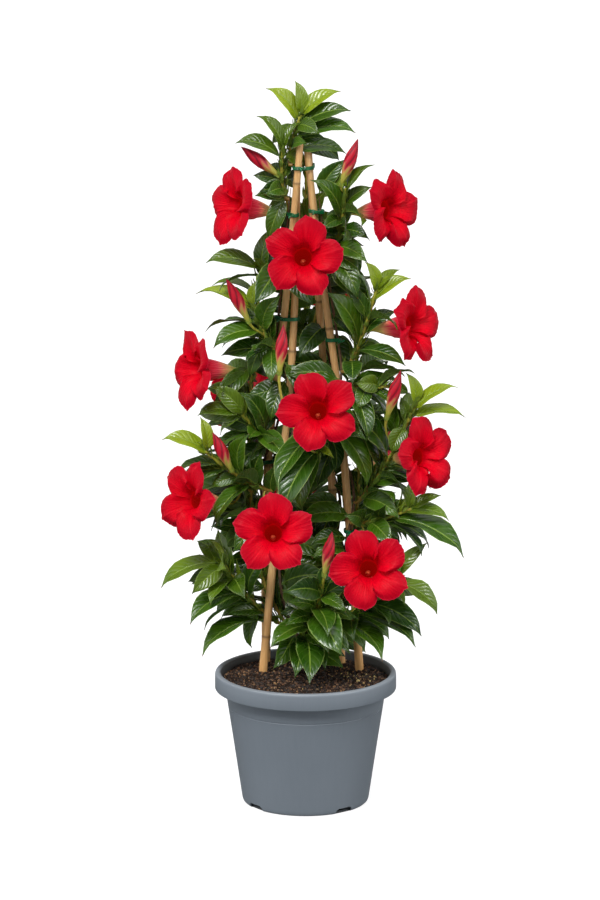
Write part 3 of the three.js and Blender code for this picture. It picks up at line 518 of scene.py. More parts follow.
class Climb(Curve):
    """A centripetal Catmull-Rom curve."""

    def __init__(self, *stops):
        row = np.array(stops, float)
        self.stops = np.vstack([2 * row[0] - row[1], row, 2 * row[-1] - row[-2]])

    def point(self, t):
        spans = len(self.stops) - 3
        i = min(int(t * spans), spans - 1)
        p = self.stops[i:i + 4]
        d0, d1, d2 = np.sqrt(np.linalg.norm(np.diff(p, axis=0), axis=1))
        t1 = d1 * ((p[1] - p[0]) / d0 - (p[2] - p[0]) / (d0 + d1) + (p[2] - p[1]) / d1)
        t2 = d1 * ((p[2] - p[1]) / d1 - (p[3] - p[1]) / (d1 + d2) + (p[3] - p[2]) / d2)
        w = t * spans - i
        return (p[1] + w * t1 + w * w * (3 * (p[2] - p[1]) - 2 * t1 - t2)
                + w ** 3 * (2 * (p[1] - p[2]) + t1 + t2))


def read_off(table, x):
    """A table's value at x, straight between its rows."""
    return float(np.interp(x, [row[0] for row in table], [row[1] for row in table]))


def smooth(x, low, high):
    """0 at low, 1 at high, with a soft start and a soft end."""
    share = np.clip((np.asarray(x, float) - low) / (high - low), 0, 1)
    return share * share * (3 - 2 * share)


def turned(v, axis, degrees):
    """A direction, turned about an axis."""
    a = math.radians(degrees)
    return v * math.cos(a) + np.cross(axis, v) * math.sin(a) + axis * (axis @ v) * (1 - math.cos(a))


def frame_along(direction):
    """The direction, the most upright direction square to it, and the third one."""
    ahead = unit(np.asarray(direction, float))
    hint = np.array([0, 1.0, 0]) if abs(ahead[2]) > 0.95 else UP
    up = square_to(hint, ahead)
    return ahead, up, np.cross(up, ahead)


print("a quarter turn of X about Z is", turned(np.array([1.0, 0, 0]), UP, 90).round(3))

# %% [markdown]
# ## Canes and climbing stems, as courses
# A cane's centre is read off its table by height, and goes on straight below the soil. A climbing stem leaves
# the root crown, reaches its cane at 280 mm and twines round it one and a half times. A side shoot leaves the
# climbing stem at the height where that stem lies on the shoot's own side of the cane.

# %% Courses of canes, vines and shoots
# How far above and below its listed height a shoot may leave its stem.
LOOK_UP_DOWN = 45


def cane_centre(cane, height):
    """The middle of a cane at a height."""
    line = CANES[cane]
    x, y = (float(np.interp(height, [p[2] for p in line], [p[k] for p in line])) for k in (0, 1))
    below = max(0, (line[0][2] - height) / (line[1][2] - line[0][2]))
    return np.array([x + below * (line[0][0] - line[1][0]), y + below * (line[0][1] - line[1][1]), height])


def vine_point(cane, height):
    """The middle of a cane's climbing stem at a height."""
    centre, foot = cane_centre(cane, height), cane_centre(cane, VINE_FROM)
    start = math.atan2(CROWN[1] - foot[1], CROWN[0] - foot[0])
    angle = start + 2 * math.pi * VINE_TURNS * np.clip((height - VINE_FROM) / (VINE_TO - VINE_FROM), 0, 1)
    reach = read_off(CANE_RADIUS, height) + VINE_RADIUS + VINE_SLACK
    on_cane = centre + reach * np.array([math.cos(angle), math.sin(angle), 0])
    share = smooth(height, SOIL_LEVEL, VINE_FROM)
    return np.array([*CROWN[:2], height]) * (1 - share) + on_cane * share


def level(v):
    """A direction, laid level."""
    return unit(np.array([v[0], v[1], 0.0]))


def shoot_curve(shoot):
    """A side shoot's course from its climbing stem to its end."""
    to, height, vine = np.array(shoot["to"], float), shoot["height"], shoot["vine"]
    if height < VINE_FROM:
        point = vine_point(vine, height)
        out = level(to - point)
    else:
        tries = []
        for z in range(height - LOOK_UP_DOWN, height + LOOK_UP_DOWN + 1, 5):
            centre, place = cane_centre(vine, z), vine_point(vine, z)
            way = level(place - centre)
            tries.append((way @ level(to - centre) - 0.004 * abs(z - height), -len(tries), place, way))
        point, out = max(tries, key=lambda row: row[:2])[2:]
    start = point + out * (VINE_RADIUS + STEM_RADIUS + 2 * GAP)
    run = to - start
    middle = start + 0.35 * run + 8 * out - UP * 0.06 * np.linalg.norm(run)
    return Bezier(start, shoot.get("via", middle), to)


def climber_curve(climber):
    """A climber's course at the back of the plant, from the root crown outward and up."""
    turn = math.radians(climber["angle"])
    way = np.array([math.cos(turn), math.sin(turn), 0])
    low, high = climber["start"], climber["end"]
    stops = [np.array([*AXIS, z]) + way * share * read_off(PROFILE, z)
             for z, share in ((low + 60, 0.36), ((low + high) / 2, 0.5), (high, 0.62))]
    return Climb(np.array([*CROWN[:2], low - 20]) + way * (CROWN[2] + 4), *stops)


PLANS = [(name, shoot, shoot_curve(shoot)) for name, shoot in SHOOTS.items()]
PLANS += [(name, climber, climber_curve(climber)) for name, climber in CLIMBERS.items()]
print("total length of the side stems:", round(sum(curve.length() for _, _, curve in PLANS)), "mm")

# %% [markdown]
# ## Which leaves are there
# Each leaf of the plan has a root on its stem, a tip, the way its face looks, and a width. Where it would
# have touched its neighbour, its solid took one of fifteen small bends. The solid's tip tells which one: the
# tip of each bent leaf is looked up among the corners of the solid, with a KD tree, which finds near points
# fast. A leaf whose tip isn't found was left out of the solids, so it is left out here too.

# %% Leaves of the plan
ASPECT = 0.4
BENDS = ((0, 0), (0, 9), (9, 0), (-9, 0), (0, -9), (10, 10), (-10, 10), (12, -8), (-12, -8), (0, 20), (20, 0),
         (-20, 0), (22, 14), (-22, 14), (0, -20))


def listed_leaf(curve, row):
    """A leaf from its row in the table. It tilts until its width seen from the front is the listed one."""
    share, x, y, z, seen = row
    root, tip = curve.point(share), np.array([x, y, z], float)
    length = np.linalg.norm(tip - root)
    width = max(seen, ASPECT * length)
    ahead = unit(tip - root)
    to_front = square_to(FRONT, ahead)
    other = np.cross(ahead, to_front)
    ratio = min(1, seen / width)
    tilt = math.sqrt(1 - ratio * ratio) * (-1 if other[2] < 0 else 1)
    return dict(root=root, tip=tip, normal=unit(to_front * ratio + other * tilt), width=width, share=share,
                listed=True)


def ruled_leaf(curve, share, turn, length, droop):
    """A leaf that leaves its stem at a turn round it, outward and drooping."""
    root = curve.point(share)
    ahead, up, right = frame_along(curve.tangent(share))
    out = level(root - np.array([*AXIS, 0]))
    way = unit(up * math.cos(turn) + right * math.sin(turn) + 0.35 * ahead + 0.75 * out - droop * UP)
    normal = square_to(UP + 0.8 * out, way)
    return dict(root=root, tip=root + way * length, normal=normal, width=ASPECT * length, share=share)


def bent(leaf, sideways, lift):
    """The leaf, turned about its foot by two small angles."""
    run = turned(leaf["tip"] - leaf["root"], UP, sideways)
    run = turned(run, unit(np.array([run[1], -run[0], 0])), lift)
    normal, ahead = turned(leaf["normal"], UP, sideways), unit(run)
    return {**leaf, "tip": leaf["root"] + run, "normal": square_to(normal, ahead)}


MULTIPLIER, MODULUS = 16807, 2147483647


def stream(seed):
    """The repeatable draws that set the plan's ruled leaves."""
    while True:
        seed = seed * MULTIPLIER % MODULUS
        yield seed / MODULUS


GOLDEN_TURN = 2.39996
draws = stream(2026)
wanted = []
for name, shoot, curve in PLANS:
    for row in shoot.get("leaves", ()):
        soft = row[0] > shoot.get("young", 2)
        wanted.append((f"shoot_{name}" + ("_young" if soft else ""), listed_leaf(curve, row)))
for name, shoot, curve in PLANS:
    pairs = shoot.get("pairs")
    count = 2 * pairs if pairs else shoot.get("fill", 0)
    for i in range(count):
        share = 0.12 + 0.88 * (i // 2 + 0.5) / pairs if pairs else (i + 0.6) / (count + 0.2)
        turn = i // 2 * math.pi / 2 + i % 2 * math.pi if pairs else i * GOLDEN_TURN + 1
        length, swing, droop = 52 + 18 * next(draws), 0.5 * (next(draws) - 0.5), 0.15 + 0.4 * next(draws)
        wanted.append((f"shoot_{name}", ruled_leaf(curve, share, turn + swing, length, droop)))
print(len(wanted), "leaves in the plan")

# %% Match them with the solids
def corner_tree(node):
    """A node's corners, ready to be searched by place."""
    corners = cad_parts[node].data.vertices
    tree = KDTree(len(corners))
    for i, corner in enumerate(corners):
        tree.insert(corner.co, i)
    tree.balance()
    return tree


# A tip counts as found when a corner is this near, in millimetres.
NEAR = 0.02
trees = {node: corner_tree(node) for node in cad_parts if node.startswith("shoot_")}
leaves = {node: [] for node in trees}
for node, leaf in wanted:
    for bend in BENDS:
        grown = bent(leaf, *bend)
        if trees[node].find(grown["tip"] * MM)[2] < NEAR * MM:
            leaves[node].append(grown)
            break
found = sum(map(len, leaves.values()))
print(found, "of them found in the solids:", {node: len(row) for node, row in leaves.items()})

# %% [markdown]
# ## Leaves between the leaves
# The solids carry only the leaves that make the plant's shape. A real mandevilla has as many again inside,
# and without them light shows through the middle. First, the leaves of the plan are turned aside where they
# would hide a bloom, a bud or an open stretch of cane, as a gardener does. A ray from each such place to the
# front finds them. Then new leaves are tried, one after another, along every stem. A try is kept if its blade
# stays inside the foliage's outline and crosses neither the solids nor a blade kept before. BVH trees answer
# that question: they are boxes within boxes, so two meshes are compared in a blink.

# %% Plain blades for testing
ARCH, FOLD = 0.13, 0.22
PLAIN_ROWS = ((0.16, 0.4), (0.42, 1.05), (0.74, 0.8), (0.98, 0.1))


def plain_blade(leaf):
    """A few flat faces along a leaf, only for testing what it would cross."""
    run = leaf["tip"] - leaf["root"]
    length = np.linalg.norm(run)
    ahead, right = run / length, np.cross(leaf["normal"], run / length)
    rise = unit(unit(UP - ahead * ahead[2]) + leaf["normal"])
    points = []
    for share, wide in PLAIN_ROWS:
        middle = leaf["root"] + run * share + rise * ARCH * length * 4 * share * (1 - share)
        half = wide * leaf["width"] / 2
        lift = leaf["normal"] * FOLD * half
        points += [middle - right * half + lift, middle, middle + right * half + lift]
    return points, grid_faces(len(PLAIN_ROWS), 3)


def blade_of(leaf):
    """The plain blade as a BVH tree, with its lowest and highest corners."""
    points, faces = plain_blade(leaf)
    return BVHTree.FromPolygons(points, faces), np.min(points, axis=0), np.max(points, axis=0)


def solid_tree(names):
    """One BVH tree of several nodes, in millimetres."""
    points, faces = [], []
    for name in names:
        mesh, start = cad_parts[name].data, len(points)
        points += [corner.co / MM for corner in mesh.vertices]
        faces += [[start + i for i in face.vertices] for face in mesh.polygons]
    return BVHTree.FromPolygons(points, faces)


solids = solid_tree(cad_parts)
firm = solid_tree([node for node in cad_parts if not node.startswith("shoot_")])
kept_blades = []
print("trees of", len(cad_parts), "nodes ready")

# %% Places that stay in sight
# The stretches of the canes that are open to the front, from one height to another.
SHOWN = {
    "rear_left": ((676, 768), (498, 600), (358, 419)),
    "front_left": ((540, 592), (146, 270)),
    "front_right": ((686, 764), (488, 594), (310, 405), (146, 206), (232, 246)),
}
NEAR_ACROSS, NEAR_UPRIGHT = 45, 130
shown = [cane_centre(cane, z) + (x, 0, 0)
         for cane, spans in SHOWN.items()
         for low, high in spans
         for z in range(low, high, 6)
         for x in (-4, 0, 4)]
for mouth, faces, _ in BLOOMS[:FRONT_BLOOMS]:
    ahead, up, right = frame_along(faces)
    shown += [mouth + ahead * d + side * w for d in range(-62, 0, 8) for side in (up, right) for w in (-7, 7)]
    shown += [mouth + ahead * 8 + (up * math.cos(a) + right * math.sin(a)) * r
              for r in (0, 15, 28, 42) for a in np.linspace(0, 2 * math.pi, 13)]
for base, tip in BUDS:
    shown += [np.array(base) + np.subtract(tip, base) * share + (x, 0, 0)
              for share in np.linspace(0, 1, 9) for x in (-4, 4)]
shown = np.array(shown, float)
FRONT_STEMS = ("top_left", "top_right", "upper_left", "upper_right", "mid_left", "mid_right", "low_right",
               "foot_centre")
front_lines = [curve.line(16, 0.3, 1) for name, _, curve in PLANS if name in FRONT_STEMS]
watched = np.concatenate([shown] + front_lines)


def hides(blade, low, high, places):
    """How many rays from the places to the viewer meet the blade."""
    near = places[(np.abs(places[:, 0] - (low[0] + high[0]) / 2) < NEAR_ACROSS)
                  & (np.abs(places[:, 2] - high[2]) < NEAR_UPRIGHT)]
    return sum(blade.ray_cast(Vector(place), Vector(FRONT))[0] is not None for place in near)


print(len(shown), "places of blooms, buds and canes, and", len(watched) - len(shown), "of stems")

# %% Turn leaves aside
# A leaf is swung when it hides this many of the places. A listed leaf has a place of its own, so it may hide
# more than a ruled one. After the swing, a leaf may hide fewer than the last number.
TOO_MANY_LISTED, TOO_MANY_RULED, TOO_MANY_SWUNG = 18, 2, 3
SWINGS = (10, 20, 30, 42, 55, 70, 85)


def aside(leaf):
    """The leaf, swung about its foot, square to the way to the viewer, until it hides hardly anything."""
    before = hides(*blade_of(leaf), shown)
    if before < (TOO_MANY_LISTED if leaf.get("listed") else TOO_MANY_RULED):
        return leaf
    for swing in (side * swing for swing in SWINGS for side in (1, -1)):
        run, normal = (turned(way, FRONT, swing) for way in (leaf["tip"] - leaf["root"], leaf["normal"]))
        moved = {**leaf, "tip": leaf["root"] + run, "normal": normal}
        blade, low, high = blade_of(moved)
        if not blade.overlap(firm) and hides(blade, low, high, shown) < min(TOO_MANY_SWUNG, before):
            kept_blades.append((low, high, blade))
            return moved
    return leaf


swung = 0
for row in leaves.values():
    for i, leaf in enumerate(row):
        row[i] = aside(leaf)
        swung += row[i] is not leaf
print(swung, "leaves swung aside")

# %% Grow the inner leaves
rng = np.random.default_rng(11)
LOWEST, HIGHEST = 160, 800


def clears(leaf, highest=HIGHEST, hidden=0):
    """Keeps the leaf's blade if it stays inside the foliage, crosses nothing and hides little enough."""
    tip = leaf["tip"]
    reach = math.hypot(tip[0] - AXIS[0], tip[1] - AXIS[1])
    if not LOWEST < tip[2] < highest or reach > read_off(PROFILE, tip[2]):
        return False
    blade, low, high = blade_of(leaf)
    if blade.overlap(solids):
        return False
    for other_low, other_high, other in kept_blades:
        if (low < other_high).all() and (high > other_low).all() and blade.overlap(other):
            return False
    if hides(blade, low, high, watched) > hidden:
        return False
    kept_blades.append((low, high, blade))
    return True


class VineCourse(Curve):
    """A climbing stem between two heights."""

    def __init__(self, cane, low, high):
        self.cane, self.low, self.high = cane, low, high

    def point(self, t):
        return vine_point(self.cane, self.low + (self.high - self.low) * t)


def inner_leaf(curve, share, length):
    """A leaf that leaves its stem in any direction and faces up and out."""
    leaf = ruled_leaf(curve, share, rng.uniform(0, 2 * math.pi), length, rng.uniform(-0.1, 0.6))
    out = level(leaf["root"] - np.array([*AXIS, 0]) + (0, -25, 0))
    normal = UP * rng.uniform(0.2, 0.9) + out + rng.normal(0, 0.25, 3)
    normal = square_to(normal, unit(leaf["tip"] - leaf["root"]))
    return {**leaf, "normal": normal, "width": length * rng.uniform(0.36, 0.44)}


def hanging_leaf(course, share, length):
    """A leaf that hangs beside its stem and shows its face to the front."""
    root = course.point(share)
    sideways = rng.choice((-1, 1)) * rng.uniform(0.25, 1)
    way = unit(np.array([sideways, -rng.uniform(0, 0.6), rng.uniform(-1.1, 0.3)]))
    normal = square_to(FRONT + (0, 0, 0.25) + rng.normal(0, 0.22, 3), way)
    width = length * rng.uniform(0.4, 0.48)
    return dict(root=root, tip=root + way * length, normal=normal, width=width, share=share)


vine_leaves = []
for cane in ("rear_right", "rear_left", "front_right", "front_left"):
    top = VINE_TOPS[cane]
    course = VineCourse(cane, LOWEST, top)
    for _ in range((top - LOWEST) // 2):
        leaf = hanging_leaf(course, rng.uniform(0, 1), rng.uniform(52, 72))
        if clears(leaf):
            vine_leaves.append(leaf)
TRIES_AT_THE_TOP = 150
inner = {f"shoot_{name}": [] for name, _, _ in PLANS}
for name, shoot, curve in PLANS:
    for _ in range(int(curve.length() / 2)):
        leaf = inner_leaf(curve, rng.uniform(0.05, 0.95), rng.uniform(46, 68))
        if clears(leaf):
            inner[f"shoot_{name}"].append(leaf)
    if name in ("crown", "top_left", "top_right"):
        for _ in range(TRIES_AT_THE_TOP):
            leaf = hanging_leaf(curve, rng.uniform(0, 0.9), rng.uniform(32, 52))
            if clears(leaf):
                inner[f"shoot_{name}"].append(leaf)
print(sum(map(len, inner.values())), "inner leaves on the shoots,", len(vine_leaves), "on the climbing stems")

# %% [markdown]
# ## Leaves that close the view
# From the front, the blooms at the back are hidden by leaves. A try in the dark would seldom hit the right
# place, so the search is turned round: each place on a rear bloom that can still be seen asks the stems near
# by for a leaf that stands in its way. Single bright windows in the foliage are closed in the same manner.

# %% Screen the rear blooms
STEM_REACH, AIM_SPREAD = 100, 20
SCREEN_ASPECT, MAY_HIDE = 0.44, 2


def open_to_view(place):
    """Whether nothing stands between a place and the viewer."""
    start, way = Vector(place + FRONT * 9), Vector(FRONT)
    if solids.ray_cast(start, way)[0]:
        return False
    return not any(blade.ray_cast(start, way)[0] for *_, blade in kept_blades)


feet = [(f"shoot_{name}", share, curve.point(share))
        for name, _, curve in PLANS for share in np.linspace(0.1, 0.95, 24)]
feet += [("vines", 0.5, vine_point(cane, z)) for cane, top in VINE_TOPS.items() for z in range(170, top, 10)]
inner["vines"] = vine_leaves
stem_places = np.array([place for *_, place in feet])


def screen(place, aim, lengths, tries):
    """Grows a leaf from a stem near by, about aim in front of the place, and says whether it found one."""
    near = np.flatnonzero(np.linalg.norm(stem_places - place - FRONT * aim, axis=1) < STEM_REACH)
    for _ in range(tries if len(near) else 0):
        home, share, root = feet[rng.choice(near)]
        depth = rng.uniform(aim - AIM_SPREAD, aim + AIM_SPREAD)
        way = unit(place + FRONT * depth + rng.normal(0, 5, 3) - root)
        normal = FRONT + rng.normal(0, 0.3, 3)
        length = rng.uniform(*lengths)
        leaf = dict(root=root, tip=root + way * length, normal=square_to(normal, way),
                    width=SCREEN_ASPECT * length, share=share)
        in_the_way = blade_of(leaf)[0].ray_cast(Vector(place), Vector(FRONT))[0]
        if in_the_way and clears(leaf, hidden=MAY_HIDE):
            inner[home].append(leaf)
            return True
    return False


screens = 0
for mouth, faces, _ in BLOOMS[FRONT_BLOOMS:]:
    ahead, up, right = frame_along(faces)
    for radius in (44, 38, 30, 20):
        for angle in np.linspace(0, 2 * math.pi, 30, endpoint=False):
            place = mouth + ahead * 5 + (up * math.cos(angle) + right * math.sin(angle)) * radius
            if open_to_view(place):
                screens += screen(place, aim=26, lengths=(46, 84), tries=110)
print(screens, "leaves screen the rear blooms")

# %% Close the gaps
# A window leaf is (a place near its stem, its tip, its width). A closed field is (left, right, low, high,
# depth): leaves are tried before each of its points, row by row.
CLOSED = ((-24, 46, 684, 754, 36), (-50, -14, 182, 250, 22), (44, 66, 538, 580, 20), (110, 130, 450, 490, 0),
          (-30, 30, 520, 620, 40), (-60, 60, 250, 520, 30))
WINDOW_LEAVES = (
    ((112, -8, 275), (141, 0, 308), 17), ((-75, -5, 461), (-107, -8, 494), 22),
    ((104, -10, 452), (98, -16, 416), 20), ((45, 10, 650), (63, 8, 620), 20), ((8, 20, 712),
    (45, 14, 752), 20), ((-20, 20, 690), (-4, 46, 738), 17), ((0, 20, 690), (6, 48, 662), 18),
    ((-18, 20, 650), (-16, 48, 700), 17), ((-40, 5, 470), (-46, 0, 514), 20), ((-80, 5, 500),
    (-106, 0, 470), 22), ((-30, 5, 360), (-32, 0, 400), 18), ((56, 10, 575), (42, 0, 612), 17),
    ((-12, 20, 560), (2, 12, 600), 16), ((-50, 10, 540), (-64, 0, 500), 18), ((-3, 22, 772),
    (0, 50, 702), 22), ((-3, 22, 765), (14, 52, 700), 20), ((-3, 22, 765), (40, 40, 742), 20))
DEPTHS_TRIED = (0, 8, -8, 16, 24, 34)
FIELD_STEP, FIELD_AIM = 7, 200
closing = 0
for near_to, end, width in WINDOW_LEAVES:
    home, share, root = feet[np.argmin(np.linalg.norm(stem_places - near_to, axis=1))]
    for depth in DEPTHS_TRIED:
        tip = np.add(end, (0, depth, 0))
        leaf = dict(root=root, tip=tip, normal=square_to(FRONT, unit(tip - root)), width=width, share=share)
        blade, low, high = blade_of(leaf)
        if not blade.overlap(firm):
            inner[home].append(leaf)
            kept_blades.append((low, high, blade))
            closing += 1
            break
for left, right_end, low, high, depth in CLOSED:
    for z in range(low, high, FIELD_STEP):
        for x in range(left, right_end, FIELD_STEP):
            place = np.array([x, depth, z]) - FRONT * FIELD_AIM
            if open_to_view(place):
                closing += screen(place, FIELD_AIM, lengths=(30, 62), tries=60)
print(closing, "leaves close the gaps")

# %% [markdown]
# ## Leaf shape
# A mandevilla leaf is a pointed oval on a short stalk. Its blade is folded a little along the midrib, puffed
# between the rib and the edge, and ends in a thin tip that hangs. It is modelled as a closed, very thin
# shell: one grid for the upper side and one for the underside, which share the rim. A single sheet would be
# quicker, but it has no thickness to catch light on its edge.

# %% A thin closed shell
def shell(top, normals, thickness):
    """Points and faces of a thin shell: top is a grid of points, and the underside shares its rim."""
    rows, columns = top.shape[:2]
    inside = np.zeros((rows, columns), bool)
    inside[1:-1, 1:-1] = True
    under = (top - normals * np.broadcast_to(thickness, (rows, columns))[..., None])[inside]
    twin = np.arange(rows * columns).reshape(rows, columns)
    twin[inside] = rows * columns + np.arange(len(under))
    twin = twin.ravel().tolist()
    upper = grid_faces(rows, columns, flip=True)
    lower = [[twin[i] for i in face[::-1]] for face in upper]
    return np.concatenate([top.reshape(-1, 3), under]), upper, lower, inside


def add_shell(mould, top, normals, thickness, **values):
    """Adds a shell, its upper side as kind 0 and its underside as kind 1. A value is one number or a grid."""
    points, upper, lower, inside = shell(top, normals, thickness)
    grids = {}
    for name, value in values.items():
        grid = np.broadcast_to(value, inside.shape)
        grids[name] = np.concatenate([grid.ravel(), grid[inside]])
    mould.add(points, upper + lower, [0] * len(upper) + [1] * len(lower), **grids)


print("shell helper ready")

# %% Leaf
BLADE = np.array([
    (0, 0.07), (0.05, 0.065), (0.09, 0.12), (0.13, 0.38), (0.2, 0.68), (0.3, 0.91), (0.42, 1), (0.54, 0.97),
    (0.66, 0.85), (0.76, 0.66), (0.85, 0.39), (0.92, 0.16), (0.96, 0.07), (1, 0.015)])
ACROSS = np.array([-1, -0.78, -0.5, -0.22, 0, 0.22, 0.5, 0.78, 1])


def add_leaf(mould, leaf, young):
    """A leaf as kinds 0, upper side, and 1, underside."""
    root, run, width = leaf["root"], leaf["tip"] - leaf["root"], leaf["width"]
    length = np.linalg.norm(run)
    ahead = run / length
    right = unit(np.cross(leaf["normal"], ahead))
    rise = unit(unit(UP - ahead * ahead[2]) + leaf["normal"])
    s, half = BLADE[:, 0, None], BLADE[:, 1, None] * width / 2
    droop = length * ARCH
    middle = root + run * s + rise * droop * 4 * s * (1 - s)
    slope = unit(run + rise * droop * 4 * (1 - 2 * s))
    up = unit(np.cross(slope, right))
    middle = middle - up * length * rng.uniform(0.02, 0.07) * smooth(s, 0.78, 1) ** 2
    middle = middle + right * length * rng.uniform(-0.05, 0.05) * s * (1 - s) * 4 * s
    roll = rng.uniform(-0.3, 0.3) * smooth(s, 0.1, 1)
    across = right * np.cos(roll) + up * np.sin(roll)
    up = up * np.cos(roll) - right * np.sin(roll)
    u = ACROSS[None, :]
    fold, puff = rng.uniform(0.14, 0.32), rng.uniform(0.1, 0.3)
    swell = rng.uniform(0.03, 0.13)
    phase = rng.uniform(1.4, 2.6) * s + rng.uniform(0, 1) + 0.25 * np.sign(u)
    waves = swell * u * u * np.sin(2 * np.pi * phase)
    height = half * (fold * abs(u) + puff * abs(u) * (1 - abs(u)) + waves)
    top = middle[:, None] + across[:, None] * (half * u)[..., None] + up[:, None] * height[..., None]
    rib = 0.4 + 0.9 * (1 - s)
    thickness = 0.35 + (rib - 0.35) * (1 - smooth(abs(half * u), 0.5, 1.6))
    add_shell(mould, top, np.broadcast_to(up[:, None], top.shape), thickness,
              across=u, along=s, tone=rng.uniform(), young=young, stalk=1 - smooth(s, 0.08, 0.12))


print(len(BLADE), "by", len(ACROSS), "points on a leaf's upper side")

# %% [markdown]
# ## Stems and flower stalks
# A green stem is a slender tube, a little thicker where a pair of leaves sits. At its tip two tiny leaves
# still stand folded together. A flower stalk widens to the foot of its bloom.

# %% Stems
STEM_FULLNESS, STEM_SIDES = 1.25, 9
KNOT_HEIGHT, KNOT_LENGTH = 0.55, 2.2
STALK_RADII = ((0, 0.33, 0.66, 0.9, 1), (1, 1.15, 1.25, 1.5, 2.1))
STALK_RINGS = 18
TIPS_HIGHEST = 840


def add_stem(mould, curve, start, end, knots, held=()):
    """A stem from start to end. held is a point inside the older stem that carries it."""
    length = curve.length()
    t = np.linspace(start, end, max(4, int((end - start) * length / 4)))
    radii = STEM_FULLNESS * (STEM_RADIUS + (STEM_TIP - STEM_RADIUS) * t)
    for knot in knots:
        radii = radii + KNOT_HEIGHT * np.exp(-((t - knot) * length / KNOT_LENGTH) ** 2)
    t, radii = np.append([0.0] * len(held), t), np.append([STEM_RADIUS] * len(held), radii)
    points, faces = tube([*held, *(curve.point(share) for share in t[len(held):])], radii, STEM_SIDES)
    mould.add(points, faces, 2, along=np.repeat(t, STEM_SIDES), tone=0.5)


def add_stalk(mould, curve, share, foot, ahead):
    """A flower stalk from a place on the stem to the foot of a bloom or a bud."""
    start = curve.point(share)
    reach = np.linalg.norm(foot - start)
    lead = start + curve.tangent(share) * 0.3 * reach
    stalk = Bezier(start, lead, foot - ahead * 0.45 * reach, foot + ahead)
    radii = np.interp(np.linspace(0, 1, STALK_RINGS), *STALK_RADII)
    points, faces = tube(stalk.line(STALK_RINGS), radii, STEM_SIDES)
    mould.add(points, faces, 2, along=0.7, tone=0.5)


def add_shoot_tip(mould, curve, start):
    """Narrow upright young leaves in pairs, each pair square to the last, and two folded ones at the end."""
    for k, share in enumerate((*np.linspace(start, 0.97, 4), 1)):
        ahead, up, right = frame_along(curve.tangent(share))
        if share == 1:
            length, spread = rng.uniform(11, 16), 0.25
        else:
            length, spread = rng.uniform(24, 38), rng.uniform(0.45, 0.8)
        for side in (-1, 1):
            out = side * (right if k % 2 else up)
            way = unit(ahead + spread * out + 0.55 * UP)
            normal = square_to(0.8 * UP - out, way)
            root = curve.point(share)
            leaf = dict(root=root, tip=root + way * length, normal=normal, width=0.27 * length)
            if share == 1 or clears(leaf, highest=TIPS_HIGHEST):
                add_leaf(mould, leaf, rng.uniform(0.75, 1))


def add_bract(mould, root, way, normal, length, width):
    """A very small narrow leaf: four rows of three points."""
    right = np.cross(normal, way)
    s = np.array([0, 0.35, 0.7, 1])[:, None]
    half = np.interp(s, (0, 0.35, 0.7, 1), (0.5, 1, 0.7, 0.08)) * width / 2
    middle = root + way * length * s - normal * length * 0.1 * (1 - (1 - 2 * s) ** 2)
    u = np.array([-1, 0, 1])[None]
    top = middle[:, None] + right * (half * u)[..., None] + normal * (0.3 * half * abs(u))[..., None]
    add_shell(mould, top, np.broadcast_to(normal, top.shape), 0.35, across=u, along=s * 0.9,
              tone=rng.uniform(0.3, 1), young=rng.uniform(0.8, 1.2), stalk=0)


def add_scales(mould, curve, start, end, leafed):
    """Small teeth and narrow bracts along a stem, thickest round the places where leaves sit."""
    length = curve.length() * (end - start)
    places = [*rng.uniform(start + 0.04, end, int(length / 2.4)), *np.repeat(leafed, 3)]
    for share in places:
        share = min(0.995, share + rng.uniform(-1, 1) * 1.5 / curve.length())
        ahead, up, right = frame_along(curve.tangent(share))
        turn = rng.uniform(0, 2 * math.pi)
        out = up * math.cos(turn) + right * math.sin(turn)
        side, foot = np.cross(ahead, out), curve.point(share) + out * 1.3
        tooth = [foot - side * 1.2 - ahead, foot + side * 1.2 - ahead, foot + ahead * 1.3,
                 foot + out * rng.uniform(0.8, 1.8) + ahead * rng.uniform(1.5, 3.2)]
        mould.add(np.array(tooth), [[0, 2, 1], [0, 1, 3], [1, 2, 3], [2, 0, 3]], 2,
                  along=rng.uniform(0, 1), tone=0.5)
        way = unit(ahead + rng.uniform(0.25, 0.75) * out + 0.2 * UP)
        normal = square_to(ahead - out * 0.4, way)
        add_bract(mould, foot + out * 0.5, way, normal, rng.uniform(6, 20), rng.uniform(2.2, 4.4))


print("stem helpers ready")

# %% [markdown]
# ## Leaf finish
# The upper side is glossy dark green. A thin pale rib runs down the middle, and side veins leave it at an
# angle. The blade puffs up between them, so it looks quilted. The values `across` and `along` that every leaf
# carries make these lines: a side vein is where `along - lean * across` passes a whole number. The underside
# is paler and dull. Near the shoots' tips, the leaves are young and yellow-green.

# %% Leaf materials
VEINS, LEAN = 9.0, 2.1
UNDER_PALE, QUILT_DEPTH = 0.45, 0.0009


